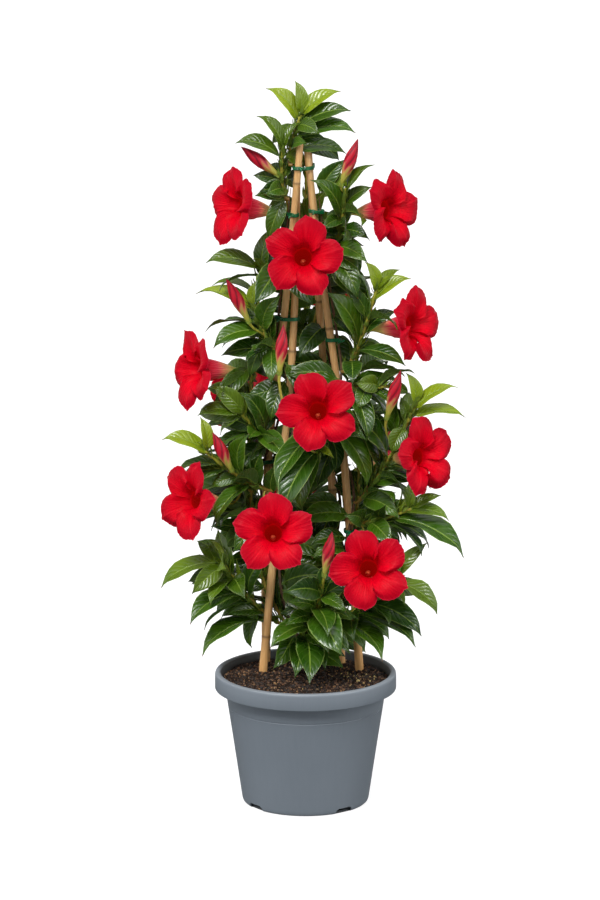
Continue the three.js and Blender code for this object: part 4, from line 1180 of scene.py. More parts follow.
def leaf_paint(under):
    """The paint of a leaf's upper side, or of its underside."""
    def paint(w):
        across, along, tone, young, stalk = map(w.painted, ("across", "along", "tone", "young", "stalk"))
        out = abs(across)
        place = (along * VEINS - out * LEAN + w.grain(60, 2) * 0.5 + 20).maths("FRACT")
        panel = abs(place - 0.5) * 2
        vein = panel.step(0.78, 1.0) * out.step(0.98, 0.7)
        rib = out.step(0.075, 0.03)
        blotch = w.grain(55, 3)
        deep = (tone * 0.9 + blotch * 0.6 - 0.25).blend(srgb(30, 66, 6), srgb(68, 106, 14))
        fresh = (tone * 0.6 + blotch * 0.6).blend(srgb(92, 122, 8), srgb(150, 170, 30))
        colour = (young + blotch * 0.25 - 0.12).blend(deep, fresh)
        if under:
            pale = {0: UNDER_PALE, 6: colour, 7: srgb(122, 158, 84)}
            colour = w.node("ShaderNodeMix", {"data_type": "RGBA"}, pale, 2)
        colour = (vein * 0.2).blend(colour, srgb(104, 138, 42))
        colour = (rib * 0.7).blend(colour, srgb(146, 176, 70))
        colour = (out.step(0.93, 0.99) * 0.7).blend(colour, srgb(160, 182, 96))
        colour = (along.step(0.955, 0.99) * tone.step(0.4, 0.6)).blend(colour, srgb(128, 84, 44))
        colour = stalk.blend(colour, srgb(116, 150, 62))
        puff = (1 - panel * panel) * out.step(1.0, 0.8) * 0.34 - rib * 0.5 + w.grain(900, 2) * 0.12
        return {"Base Color": colour, "Roughness": 0.2 + blotch * 0.16 + vein * 0.1,
                "Normal": puff.bump(-QUILT_DEPTH if under else QUILT_DEPTH)}
    return paint


leaf_top = finish("leaf_upper_side", leaf_paint(False), Specular_IOR_Level=0.45)
leaf_under = finish("leaf_underside", leaf_paint(True), Specular_IOR_Level=0.15)


def stem_paint(w):
    along = w.painted("along")
    speck = w.grain(420, 3)
    green = (along * 0.8 + speck * 0.9 - 0.3).blend(srgb(140, 98, 44), srgb(186, 186, 62))
    return {"Base Color": green, "Roughness": 0.45 + speck * 0.2, "Normal": w.grain(700, 3).bump(0.0002)}


stem_green = finish("green_stem", stem_paint)
LEAF_FINISHES = (leaf_top, leaf_under, stem_green)
print("materials:", [material.name for material in LEAF_FINISHES])

# %% [markdown]
# ## Shoots
# Each shoot is one piece: its stem, the stalks of its blooms and buds, its leaves and bracts, and its young
# tip. A few shoots have a solid of their own for the young end. They are split there into two pieces, which
# share the stem's course.

# %% Make the shoots
def foot_of(kind, number):
    """Where the stalk of a bloom or a bud ends, and the way it points there."""
    if kind == "blooms":
        mouth, faces, _ = BLOOMS[number - 1]
        ahead = unit(np.array(faces))
        return np.array(mouth) - ahead * BLOOM_LENGTH, ahead
    base, tip = map(np.array, BUDS[number - 1])
    return base.astype(float), unit(tip - base)


for name, shoot, curve in PLANS:
    node, soft = f"shoot_{name}", shoot.get("young", 1)
    moulds = {node: Mould()}
    held = [vine_point(shoot["vine"], curve.point(0)[2])] if "vine" in shoot else []
    add_stem(moulds[node], curve, 0, soft, [leaf["share"] for leaf in leaves[node] + inner[node]], held)
    for kind in ("blooms", "buds"):
        for number, share in shoot.get(kind, ()):
            add_stalk(moulds[node], curve, share, *foot_of(kind, number))
    if soft < 1:
        moulds[node + "_young"] = Mould()
        add_stem(moulds[node + "_young"], curve, soft, 1, [leaf["share"] for leaf in leaves[node + "_young"]])
    for home, mould in moulds.items():
        for leaf in leaves[home] + inner.get(home, []):
            pale = shoot.get("pale", 0.35) * float(smooth(leaf["share"], 0.6, 1))
            add_leaf(mould, leaf, pale if home == node else 1)
        low, high = (soft, 0.99) if home != node else (0.05, soft)
        add_scales(mould, curve, low, high, [leaf["share"] for leaf in leaves[home] + inner.get(home, [])])
    add_shoot_tip(mould, curve, max(0.72, shoot.get("young", 0)))
    for home, mould in moulds.items():
        mould.piece(home + "_foliage", LEAF_FINISHES, "leaf" if home == node else "young", [home])
print("shoots done")
mould = Mould()
for leaf in vine_leaves:
    add_leaf(mould, leaf, 0)
mould.piece("inner_foliage", LEAF_FINISHES, "leaf", [])
print("faces on the climbing stems' leaves:", len(mould.faces))

# %% [markdown]
# ## Blooms
# A mandevilla bloom is one funnel that opens into five petals. Each petal overlaps the next one like the
# vanes of a pinwheel: one side edge stands forward and the other lies behind its neighbour. Each petal is its
# own thin shell that starts inside the throat, so the overlaps are real edges. The funnel is a lathed wall
# with an outside and an inside, and a small cone of stamens stands in it.

# %% Petal
PETAL_EDGE = ((-50, 24), (-47, 28), (-43, 32), (-38, 36), (-33, 39.2), (-27, 41.8), (-20, 43.4), (-12, 44.4),
              (-4, 44.9), (4, 44.6), (10, 43.6), (16, 41.8), (21, 39.2), (26, 35.4), (30, 31), (34, 25))
PETAL_ROWS = np.array((0, 0.04, 0.08, 0.12, 0.17, 0.23, 0.29, 0.36, 0.43, 0.5, 0.57, 0.64, 0.71, 0.78, 0.84,
                       0.9, 0.95, 0.98, 1))
PETAL_COLUMNS = np.concatenate([np.linspace(-50, -12, 14), np.linspace(-9, 9, 11), np.linspace(12, 34, 8)])
PETAL_START, HALF_PETAL = 9.8, 45


def place_round(centre, axes, angle, radius, forward):
    """Points at angles, radii and distances forward of a centre, in the bloom's own three directions."""
    ahead, up, right = axes
    return (centre + ahead * np.asarray(forward)[..., None] + up * (radius * np.cos(angle))[..., None]
            - right * (radius * np.sin(angle))[..., None])


def add_petal(mould, centre, axes, middle, tone, wild):
    """A petal round the bloom's middle. Its clockwise side, alpha below 0, lies over its neighbour."""
    alpha, s = PETAL_COLUMNS, PETAL_ROWS[:, None]
    side, lean = -alpha / HALF_PETAL, rng.uniform(-5, 9)
    edge = np.interp(alpha * rng.uniform(0.95, 1.05), *zip(*PETAL_EDGE)) + rng.uniform(-0.8, 1)
    edge = edge + (3.6 + rng.uniform(-1, 1)) * np.exp(-abs(alpha - lean) / 3.6)
    edge = edge + 0.45 * np.sin(alpha * 0.22 + rng.uniform(0, 6))
    edge = edge + 0.3 * np.sin(alpha * 0.8 + rng.uniform(0, 6))
    radius = PETAL_START + s * (edge - PETAL_START)
    throat = -9.5 * (1 - s) ** 7
    cup = (9 + rng.uniform(-2, 2)) * (1 - (1 - s) ** 2)
    overlap = 2.5 * side * smooth(s, 0, 0.22) * (1 - 0.4 * s)
    crease = 1.6 * np.exp(-abs(alpha - lean * s) / 10) * smooth(s, 0.12, 0.6)
    roll = rng.uniform(0.8, 1.8) * np.exp(-((side - 0.82) / 0.16) ** 2) * smooth(s, 0.02, 0.3) * (1 - 0.6 * s)
    curl = -wild * rng.uniform(1.5, 4.5) * smooth(s, 0.55, 1) ** 2
    curl = curl * (0.3 + (side - rng.uniform(-0.4, 0.5)) ** 2)
    tip = -wild * rng.uniform(0, 3) * np.exp(-((alpha - lean) / 8) ** 2) * smooth(s, 0.75, 1)
    ripple = rng.uniform(0.5, 1.2) * s ** 2 * np.sin(rng.uniform(5, 8) * side + 3 * s + rng.uniform(0, 6))
    frill = rng.uniform(0.4, 1.1) * side ** 2 * s * np.sin(rng.uniform(9, 13) * s + rng.uniform(0, 6))
    pleats = 0.2 * smooth(s, 0.05, 0.3) * (1 - 0.5 * s) * np.sin(alpha * 1.1 + rng.uniform(0, 6))
    turn = np.radians(alpha + middle)
    top = place_round(centre, axes, turn, radius,
                      throat + cup + overlap + crease + roll + curl + tip + ripple + frill + pleats)
    normals = np.broadcast_to(axes[0], top.shape)
    # Painted shade: the upper petals darken near the throat, and deep carries it into the paint.
    painted_upper_shade = smooth(s, 0.3, 0.02) * smooth(np.cos(turn), 0, 0.9)
    add_shell(mould, top, normals, 0.75 - 0.3 * s, side=(lean * s - alpha) / HALF_PETAL, out=s, tone=tone,
              deep=np.maximum(smooth(s, 0.06, 0.0), 0.6 * painted_upper_shade), back=0.06)


print(len(PETAL_ROWS), "by", len(PETAL_COLUMNS), "points on a petal")

# %% Funnel, stamens and sepals
FUNNEL = ((2.0, -64.6), (2.2, -58), (2.7, -52), (4.2, -46), (6.4, -40), (8.6, -33.5), (10.1, -28),
          (11.9, -20), (13.5, -12), (15.2, -6), (17.6, -2.2), (20.5, 0), (17, -0.9), (13.6, -3.2),
          (11.6, -6.6), (10.8, -10), (10.2, -14), (9.0, -19), (7.4, -24), (5.2, -28.5), (2.6, -31.5),
          (0.6, -33))
OUTER = 12
FUNNEL_COLUMNS, STAMEN_COLUMNS = 30, 10
STAMENS = ((2.6, -30), (3.0, -26), (3.3, -22), (2.3, -17), (0.3, -13.5))
SEPAL_RING, STAMENS_SINK = 2.2, 4.8


def sunk(forward):
    """How far the throat bends down at a depth, so its upper wall shows."""
    return 4.6 * smooth(-np.asarray(forward), 5, 24)


def add_funnel(mould, centre, axes, turn, tone):
    """The funnel: rings up its outside, the first OUTER of them, and down its inside."""
    columns = FUNNEL_COLUMNS
    angle = 2 * np.pi * np.arange(columns)[None] / columns
    radius, forward = np.array(FUNNEL).T[..., None]
    lobes = 1 + 0.03 * np.cos(5 * (angle + math.radians(turn))) * smooth(forward, -60, -20)
    inner = np.arange(len(FUNNEL))[:, None] >= OUTER
    points = place_round(centre, axes, angle + 0 * radius, radius * lobes, forward + 0 * angle)
    points = points - axes[1] * (sunk(forward) * inner)[..., None]
    back = np.where(inner, 0, np.clip(-forward / BLOOM_LENGTH, 0, 1)) + 0 * angle
    deep = np.where(inner, smooth(forward, -1, -6) + smooth(forward, -5, -17), 0) + 0 * angle
    kinds = [1] * (columns * OUTER) + [0] * (columns * (len(FUNNEL) - 1 - OUTER)) + [1, 0]
    side = np.broadcast_to(np.cos(5 * angle), back.shape)
    mould.add(points.reshape(-1, 3), ring_faces(len(FUNNEL), columns), kinds,
              back=back.ravel(), deep=deep.ravel(), side=side.ravel(), out=0, tone=tone)


def add_stamens(mould, centre, axes):
    """A small cone in the throat, a little below its middle, as the throat bends down."""
    angle = 2 * np.pi * np.arange(STAMEN_COLUMNS)[None] / STAMEN_COLUMNS
    radius, forward = np.array(STAMENS).T[..., None]
    middle = centre - axes[1] * STAMENS_SINK
    points = place_round(middle, axes, angle + 0 * radius, radius + 0 * angle, forward + 0 * angle)
    mould.add(points.reshape(-1, 3), ring_faces(len(STAMENS), STAMEN_COLUMNS), 2)


def add_sepals(mould, base, axes, size, kind):
    """Five small green teeth that stand round the foot of a bloom or a bud."""
    for middle in np.radians(72 * np.arange(5)):
        turn = middle + np.radians((-26, 0, 26, 0))
        foot = place_round(base, axes, turn, SEPAL_RING + np.array([0, 0.9, 0, -0.8]),
                           np.array([-0.4, -0.8, -0.4, 0.2]))
        mid = place_round(base, axes, middle + (turn - middle) * 0.8,
                          SEPAL_RING + np.array([0.5, 1.5, 0.5, 0]), np.full(4, size * 0.55))
        tip = place_round(base, axes, np.array([middle]), np.array([SEPAL_RING + 1.6]), np.array([size]))
        faces = grid_faces(2, 4, ring=True) + [[4 + i, 4 + (i + 1) % 4, 8] for i in range(4)] + [[3, 2, 1, 0]]
        mould.add(np.concatenate([foot, mid, tip]), faces, kind)


print("funnel with", len(FUNNEL), "rings")

# %% [markdown]
# ## Bloom finish
# The petals are a saturated velvety red with fine darker veins that run from the throat to the edge. A paler
# band down each petal's middle is a painted highlight, and a thin pinkish line on the rim is one too. Deep in
# the throat the red goes to maroon, and the upper petals get painted shade near it. Petals are thin and let
# light through, so the throat never goes black: a faint red emission stands for that glow. Outside, the
# funnel fades from pinkish red through cream to yellow-green at its foot, and glows faintly in its own
# colour, which is painted light.

# %% Bloom materials
def petal_paint(w):
    side, out, deep, tone = map(w.painted, ("side", "out", "deep", "tone"))
    cloth, fine = w.grain(130, 3), w.grain(420, 3)
    fan = (side * 46 + w.grain(90, 2) * 4).maths("SINE").step(0.3, 1.0)
    red = (cloth * 1.3 + tone * 0.3 - 0.4).blend(srgb(214, 0, 26), srgb(242, 0, 36))
    red = (fine.step(0.45, 0.75) * 0.3).blend(red, srgb(186, 0, 24))
    # Painted highlight: a paler band down each petal's middle, where its crease faces the light.
    ridge = abs(side).step(0.09, 0.0) * out.step(0.15, 0.5)
    red = (ridge * 0.5).blend(red, srgb(246, 30, 50))
    red = (fan * 0.2 * out.step(1.0, 0.2)).blend(red, srgb(172, 0, 18))
    red = (out.step(0.3, 1.0) * 0.85).blend(red, srgb(176, 2, 30))
    # Painted highlight: a thin pinkish line along each petal's rim.
    red = (out.step(0.96, 0.995) * 0.4).blend(red, srgb(214, 52, 88))
    # deep is the depth in the throat, and on the upper petals also painted shade; it turns the red to maroon.
    red = deep.blend(red, srgb(170, 0, 10))
    red = (deep - 1).step(0, 1).blend(red, srgb(120, 2, 4))
    glow = (deep - 0.3).step(0, 0.7).blend((0, 0, 0), (0.21, 0, 0.001))
    glow = (deep - 1).step(0.1, 1).blend(glow, (0.165, 0.001, 0.0004))
    lines = fan * 0.5 + w.grain(300, 3) * 0.9 + w.grain(1400, 2) * 0.3
    return {"Base Color": red, "Roughness": 0.36 + cloth * 0.14, "Emission Color": glow,
            "Normal": lines.bump(0.0003)}


def outside_paint(w):
    back, side, tone = map(w.painted, ("back", "side", "tone"))
    cloud = w.grain(80, 3)
    streak = (side * 9 + cloud * 4).maths("SINE") * 0.5 + 0.5
    colour = (back + streak * 0.1 - 0.05).ramp(
        (0.0, srgb(208, 4, 34)), (0.18, srgb(214, 16, 48)), (0.36, srgb(224, 66, 82)),
        (0.52, srgb(236, 156, 112)), (0.66, srgb(238, 214, 120)), (0.84, srgb(204, 190, 74)),
        (1.0, srgb(158, 158, 52)))
    # The outside glows faintly in its own colour: painted light that brightens the tube.
    return {"Base Color": colour, "Roughness": 0.36 + cloud * 0.1, "Normal": (streak + cloud).bump(0.0004),
            "Emission Color": colour}


def speckled(dark, light, scale, depth, rough=0.5):
    """A paint that mottles two screen colours, for the smallest parts."""
    def paint(w):
        speck = w.grain(scale, 4)
        colour = speck.step(0.3, 0.7).blend(srgb(*dark), srgb(*light))
        return {"Base Color": colour, "Roughness": rough + speck * 0.15, "Normal": speck.bump(depth)}
    return paint


petal_red = finish("petal_velvet", petal_paint, Specular_IOR_Level=0.05, Emission_Strength=1.0)
funnel_outside = finish("funnel_outside", outside_paint, Specular_IOR_Level=0.22, Emission_Strength=0.1)
stamen_gold = finish("stamens", speckled((200, 50, 30), (224, 104, 60), 900, 0.0002))
sepal_green = finish("sepals", speckled((110, 138, 44), (150, 168, 66), 500, 0.0002))
BLOOM_FINISHES = (petal_red, funnel_outside, stamen_gold, sepal_green)
print("materials:", [material.name for material in BLOOM_FINISHES])

# %% Make the blooms
# The petals of a bloom that faces sideways curl more.
CURL_SIDEWAYS = 1.9
for number, (mouth, faces, turn) in enumerate(BLOOMS, 1):
    mould, axes, tone = Mould(), frame_along(faces), rng.uniform()
    centre = np.array(mouth, float)
    add_funnel(mould, centre, axes, turn, tone)
    for k in range(5):
        add_petal(mould, centre, axes, 72 * k - turn, tone, CURL_SIDEWAYS if abs(faces[0]) > 0.5 else 1)
    add_stamens(mould, centre, axes)
    add_sepals(mould, centre - axes[0] * BLOOM_LENGTH, axes, size=7, kind=3)
    mould.piece(f"mandevilla_bloom_{number:02}", BLOOM_FINISHES, "petal", [f"bloom_{number:02}"])
print(len(mould.faces), "faces in a bloom")

# %% [markdown]
# ## Buds
# A closed bud is a spindle of five petals rolled round each other, so shallow spiral grooves run up it. The
# rings of its skin have five lobes that turn on the way to the tip, and along the same turn painted shade
# darkens the grooves to spiral lines.

# %% Buds
SPINDLE = ((0, 2.2), (0.08, 2.6), (0.2, 3.8), (0.33, 5.6), (0.46, 7), (0.57, 7.2), (0.68, 6.3), (0.79, 4.6),
           (0.88, 2.9), (0.95, 1.5), (1, 0.3))
BUD_RINGS, BUD_COLUMNS, BUD_TWIST = 26, 20, 3.4


def bud_paint(w):
    along, fold = w.painted("along"), w.painted("fold")
    cloud = w.grain(120, 3)
    flame = (fold * 0.5 + w.grain(260, 3, (1, 1, 0.3)) - 0.5) * 0.2
    colour = (along + flame + cloud * 0.1 - 0.05).ramp(
        (0.0, srgb(140, 152, 44)), (0.2, srgb(196, 188, 84)), (0.34, srgb(216, 150, 96)),
        (0.46, srgb(206, 40, 62)), (0.6, srgb(206, 10, 42)), (1.0, srgb(164, 4, 34)))
    # Painted shade: the grooves between the rolled petals darken to spiral lines.
    colour = (fold.step(0.3, 0.9) * along.step(0.3, 0.5) * 0.8).blend(colour, srgb(112, 2, 28))
    return {"Base Color": colour, "Roughness": 0.34 + cloud * 0.12,
            "Normal": (cloud - fold * 0.5).bump(0.0003)}


bud_red = finish("bud_skin", bud_paint, Specular_IOR_Level=0.4)
for number, (base, tip) in enumerate(BUDS, 1):
    mould, base, tip = Mould(), np.array(base, float), np.array(tip, float)
    length, axes = np.linalg.norm(tip - base), frame_along(tip - base)
    share = np.linspace(0, 1, BUD_RINGS)[:, None]
    angle = 2 * np.pi * np.arange(BUD_COLUMNS)[None] / BUD_COLUMNS
    fold = np.cos(5 * (angle - share * BUD_TWIST)) * smooth(share, 0.1, 0.4)
    radius = np.interp(share, *zip(*SPINDLE)) * (1 - 0.07 * fold ** 2 * (fold > 0))
    points = place_round(base, axes, angle + 0 * share, radius, share * length + 0 * angle)
    mould.add(points.reshape(-1, 3), ring_faces(BUD_RINGS, BUD_COLUMNS), 0,
              along=np.repeat(share, BUD_COLUMNS), fold=fold.ravel())
    add_sepals(mould, base, axes, size=6, kind=1)
    mould.piece(f"mandevilla_bud_{number}", (bud_red, sepal_green), "bud", [f"bud_{number}"])
print(len(BUDS), "buds")

# %% [markdown]
# ## Canes
# Thin bamboo canes are smooth and tan, with a raised ring every hand's width where a leaf once sat. Each ring
# is a swell with a groove above it, made by the radii of a tube. Fine fibres run along the cane: noise whose
# pattern is drawn out upward.

# %% Canes
def cane_paint(w):
    knot, low = w.painted("knot"), w.painted("low")
    fibre = w.grain(900, 4, (1, 1, 0.03))
    patch = w.grain(30, 3, (1, 1, 0.4))
    tan = (fibre.step(0.3, 0.7) * 0.7 + patch * 0.5 - 0.1).blend(srgb(222, 166, 102), srgb(254, 210, 144))
    tan = (low * (patch * 0.6 + 0.1)).blend(tan, srgb(226, 158, 84))
    tan = (fibre.step(0.64, 0.72) * 0.5).blend(tan, srgb(136, 90, 50))
    tan = (knot * 0.75).blend(tan, srgb(120, 80, 46))
    return {"Base Color": tan, "Roughness": 0.42 + patch * 0.2, "Normal": fibre.bump(0.0003)}


bamboo = finish("bamboo", cane_paint)
RING_GAP, RING_HEIGHT, CANE_SIDES = 112, 0.55, 22
NEAR_A_RING = (-7, -3.5, -1.6, -0.5, 0.5, 1.4, 2.6, 5)
SMOOTHING = 18
for k, (cane, line) in enumerate(CANES.items()):
    top, rings = line[-1][2], np.arange(CANE_FOOT + 80 + 27 * k, line[-1][2] - 20, RING_GAP)
    near_ring = [z + step for z in rings for step in NEAR_A_RING]
    heights = np.array(sorted([*np.linspace(CANE_FOOT, top - 1, 48), *near_ring]))
    heights = np.append(heights[np.append(True, np.diff(heights) > 0.6)], top)
    knot = sum(np.exp(-((heights - z) / 1.5) ** 2) for z in rings)
    swell = sum(np.exp(-((heights - z) / 4.5) ** 2) - 0.9 * np.exp(-((heights - z - 1.8) / 0.9) ** 2)
                for z in rings)
    radii = np.array([read_off(CANE_RADIUS, z) for z in heights]) + RING_HEIGHT * swell
    radii[-1] -= 0.8
    path = []
    for z in heights:
        below, here, above = (cane_centre(cane, z + step) for step in (-SMOOTHING, 0, SMOOTHING))
        path.append(np.array([*((below + 2 * here + above) / 4)[:2], z]))
    mould = Mould()
    points, faces = tube(path, radii, CANE_SIDES)
    low = 1 - smooth(heights, SOIL_LEVEL, 290)
    mould.add(points, faces, 0, knot=np.repeat(knot, CANE_SIDES), low=np.repeat(low, CANE_SIDES))
    mould.piece(f"bamboo_cane_{cane}", (bamboo,), "cane", [f"cane_{cane}"])
print(len(CANES), "canes of", len(path), "rings")

# %% [markdown]
# ## Ties
# A tie is green coated wire, wound three times round what it holds, with its two ends twisted together and
# spread. Its course follows the outline of the canes, like a rubber band would: for each direction, the cane
# that reaches farthest out gives the point.

# %% Ties
WRAPS, WRAPS_HEIGHT, WIRE_GAP, WIRE_RADIUS = 3, 3.8, 1.55, 0.9
END_POINTS, TWISTED_POINTS = 12, 7


def tie_course(height, canes, knot_side):
    """The middle line of a tie's wire: one twisted end, the wraps, and the other end."""
    circles = [(cane_centre(cane, height), read_off(CANE_RADIUS, height)) for cane in canes]
    circles += [(vine_point(cane, height), VINE_RADIUS + 0.3)
                for cane in canes if VINE_TOPS[cane] > height - 5]

    def edge(angle, rise):
        way = np.array([math.cos(angle), math.sin(angle), 0])
        centre, radius = max(circles, key=lambda circle: circle[0] @ way + circle[1])
        return centre + way * (radius + WIRE_GAP) + UP * rise

    start = math.radians(knot_side)
    sweep = 2 * math.pi * WRAPS
    wraps = [edge(a, WRAPS_HEIGHT * (a - start) / sweep - WRAPS_HEIGHT / 2)
             for a in np.linspace(start, start + sweep, 85)]
    way = np.array([math.cos(start), math.sin(start), 0])
    side = np.cross(UP, way)
    ends = []
    for sign in (-1, 1):
        end = []
        for i in range(END_POINTS):
            turn, spread = i * 0.9 + (sign > 0) * math.pi, max(0, i - TWISTED_POINTS)
            sideways = 0.85 * math.cos(turn) + sign * 0.75 * spread
            upward = 0.85 * math.sin(turn) + 0.4 * sign * spread
            end.append(edge(start, 0) + way * (0.5 + 0.62 * i) + side * sideways + UP * upward)
        ends.append(end)
    return ends[0][::-1] + wraps + ends[1]


tie_green = finish("tie_coating", speckled((0, 84, 44), (10, 128, 72), 260, 0.0001, 0.3))
for name, (height, canes, knot_side) in TIES.items():
    mould = Mould()
    mould.add(*tube(tie_course(height, canes, knot_side), WIRE_RADIUS, 8))
    mould.piece(f"{name}_wire", (tie_green,), "tie", [name])
print(len(TIES), "ties of", len(mould.faces), "faces")

# %% [markdown]
# ## Woody stems
# The old stems are dark brown and thin as a pencil lead. They rise from one knobbly crown in the potting mix,
# lean over to the canes and twine up them. Their bark has small ridges, which are partly in the shape, as
# random changes of the radius, and partly in the material.

# %% Woody stems
def bark_paint(w):
    ridge, patch = w.grain(520, 4, (1, 1, 0.25)), w.grain(70, 3)
    brown = (ridge.step(0.3, 0.75) * 0.8 + patch * 0.3).blend(srgb(52, 36, 24), srgb(124, 94, 60))
    return {"Base Color": brown, "Roughness": 0.7 + patch * 0.2, "Normal": ridge.bump(0.0008)}


bark = finish("bark", bark_paint)
mould = Mould()
heights = np.linspace(60, 152, 24)
knobs = 1 + 0.12 * rng.normal(size=(24, 14)) - 0.5 * smooth(heights, 146, 152)[:, None]
mould.add(*tube([np.array([*CROWN[:2], z]) for z in heights], CROWN[2] * knobs, 14))
for cane, top in VINE_TOPS.items():
    heights = np.arange(SOIL_LEVEL, top, 5.0)
    radii = VINE_RADIUS * (1 - 0.3 * (heights - SOIL_LEVEL) / (top - SOIL_LEVEL))
    radii = radii * (1 - 0.7 * smooth(heights, top - 45, top))
    radii = radii[:, None] * (1 + 0.07 * rng.normal(size=(len(heights), 9)))
    radii += (0.5 * (np.arange(len(heights)) % 14 == 6))[:, None]
    mould.add(*tube([vine_point(cane, z) for z in heights], radii, 9))
mould.piece("twining_stems", (bark,), "wood", ["woody_stems"], 180)
print(len(mould.faces), "faces of bark")

# %% [markdown]
# ## Pot
# The pot is moulded plastic, so it is turned: a profile swept round the axis, with many columns so that no
# facets show. The drainage notches are cut with a Boolean modifier, which is then applied, and the sharp
# edges are marked again, since the cut makes new ones. Painted shade darkens the inside of the notches and
# the inner wall above the mix, and a painted highlight lightens the top of the lip. The finish is a satin
# slate blue-grey with a grain of a tenth of a millimetre, as the mould leaves it, and faint dusty marks.

# %% Pot
POT_PROFILE = (
    (0, 0), (66, 0), (69, 0.25), (71.2, 0.9), (72.6, 2.2), (73.4, 4.2), (73.8, 6.5), (78, 35.2), (84, 75.8),
    (89.9, 114.5), (89.45, 115), (89.45, 115.6), (90.15, 116.2), (91, 122), (92.9, 134), (98.4, 148.2),
    (99, 148.7), (101, 148.7), (101.5, 148.2), (102.3, 136), (102.7, 135.4), (104.3, 135.4), (104.7, 135.6),
    (104.9, 136.2), (104.9, 145), (104.8, 151.4), (104.5, 153), (103.8, 154.2), (102.6, 154.8), (101.2, 155),
    (99.7, 155), (98.8, 154.6), (98.1, 153.4), (97.4, 150.6), (90.8, 133.5), (71.6, 6), (70, 3.8),
    (68, 3), (0, 3))
COLUMNS = 144
WALL_FOOT, WALL_SLOPE = (90.8, 133.5), 0.386
LIP_HIGHLIGHT_LOW, LIP_HIGHLIGHT_HIGH = 152.6, 154.6
RECESS_OUT, RECESS_IN = 71.4, 70.6
NOTCHES, NOTCH_START, NOTCH_WIDTH, NOTCH_HEIGHT = 4, 37.5 - 90, 23, 7
# The cutter's outline: shares of half its width, and heights. It reaches from one radius to the other.
NOTCH_ARCH = ((-1, -9), (-1, 4.5), (-0.72, NOTCH_HEIGHT), (0.72, NOTCH_HEIGHT), (1, 4.5), (1, -9))
NOTCH_REACH = (68, 80)


def turned_body(profile, columns):
    """A closed body from a profile that starts and ends on the axis."""
    radius, height = np.array(profile[1:-1], float).T[..., None]
    angle = 2 * np.pi * np.arange(columns)[None] / columns
    ring = np.stack([radius * np.cos(angle), radius * np.sin(angle), height + 0 * angle], axis=-1)
    points = np.concatenate([ring.reshape(-1, 3), [(0, 0, profile[0][1]), (0, 0, profile[-1][1])]])
    last = (len(profile) - 3) * columns
    foot, floor_middle = len(points) - 2, len(points) - 1
    faces = grid_faces(len(profile) - 2, columns, ring=True)
    faces += [[(c + 1) % columns, c, foot] for c in range(columns)]
    faces += [[last + c, last + (c + 1) % columns, floor_middle] for c in range(columns)]
    return points, faces


def pot_paint(w):
    grain, cloud = w.grain(2600, 2), w.grain(9, 3)
    streak = w.grain(240, 3, (1, 1, 0.06))
    slate = (cloud * 0.6 + streak * 0.4).blend(srgb(110, 119, 128), srgb(124, 133, 142))
    slate = (w.grain(160, 5).step(0.66, 0.8) * 0.1).blend(slate, srgb(150, 152, 150))
    place = w.node("ShaderNodeTexCoord", out="Object")
    x, y, z = (place.node("ShaderNodeSeparateXYZ", values={"Vector": place}, out=axis) for axis in "XYZ")
    out = (x * x + y * y).maths("SQRT")
    # Painted shade: the inner wall above the mix, down in the pot's hollow, is darker.
    inward = (z - WALL_FOOT[1] * MM) * WALL_SLOPE + (WALL_FOOT[0] + 1) * MM - out
    slate = (inward.step(0, 0.6 * MM) * 0.75).blend(slate, srgb(58, 60, 60))
    # Painted highlight: the top of the lip is lighter, as where light falls from above.
    slate = (z.step(LIP_HIGHLIGHT_LOW * MM, LIP_HIGHLIGHT_HIGH * MM) * 0.6).blend(slate, srgb(156, 163, 171))
    # Painted shade: the inside of the drainage notches is nearly black.
    notch_shade = out.step(RECESS_OUT * MM, RECESS_IN * MM) * z.step((NOTCH_HEIGHT + 1) * MM, NOTCH_HEIGHT * MM)
    slate = (notch_shade * 0.85).blend(slate, srgb(22, 26, 30))
    return {"Base Color": slate, "Roughness": 0.4 + streak * 0.14 + grain * 0.06,
            "Normal": (grain * 0.5 + streak).bump(0.00006)}


mould = Mould()
mould.add(*turned_body(POT_PROFILE, COLUMNS))
slate_plastic = finish("slate_plastic", pot_paint)
pot = mould.piece("nursery_pot", (slate_plastic,), "pot", ["pot"], 32)
cutter = Mould()
for k in range(NOTCHES):
    turn = math.radians(NOTCH_START + 360 / NOTCHES * k)
    out, side = np.array([math.cos(turn), math.sin(turn), 0]), np.array([-math.sin(turn), math.cos(turn), 0])
    ends = [[out * reach + side * x * NOTCH_WIDTH / 2 + UP * z for x, z in NOTCH_ARCH]
            for reach in NOTCH_REACH]
    cutter.add(np.array(ends).reshape(-1, 3), [face[::-1] for face in ring_faces(2, len(NOTCH_ARCH))])
cutters = cutter.piece("notch_cutters", (), "pot", [])
cut = pot.modifiers.new("notches", "BOOLEAN")
cut.object = cutters
cut.operation = "DIFFERENCE"
bpy.context.view_layer.update()
pot.data = bpy.data.meshes.new_from_object(pot.evaluated_get(bpy.context.evaluated_depsgraph_get()))
pot.modifiers.clear()
pot.data.set_sharp_from_angle(angle=math.radians(24))
bpy.data.objects.remove(cutters)
print(len(pot.data.polygons), "faces in the pot")

# %% [markdown]
# ## Potting mix
# The mix is peat and fine bark: dark crumbs of one to three millimetres with a few tan flecks. The ground is
# a disc with uneven height, made with noise, and more than four thousand small crumbs lie on it. Real crumbs
# in the shape look better than a bump, because they cast small shadows.

# %% Ground
FILL_LEVEL = SOIL_LEVEL + 4
SOIL_RINGS = (*np.linspace(94.6, 70, 14), *np.linspace(66, 4, 22))


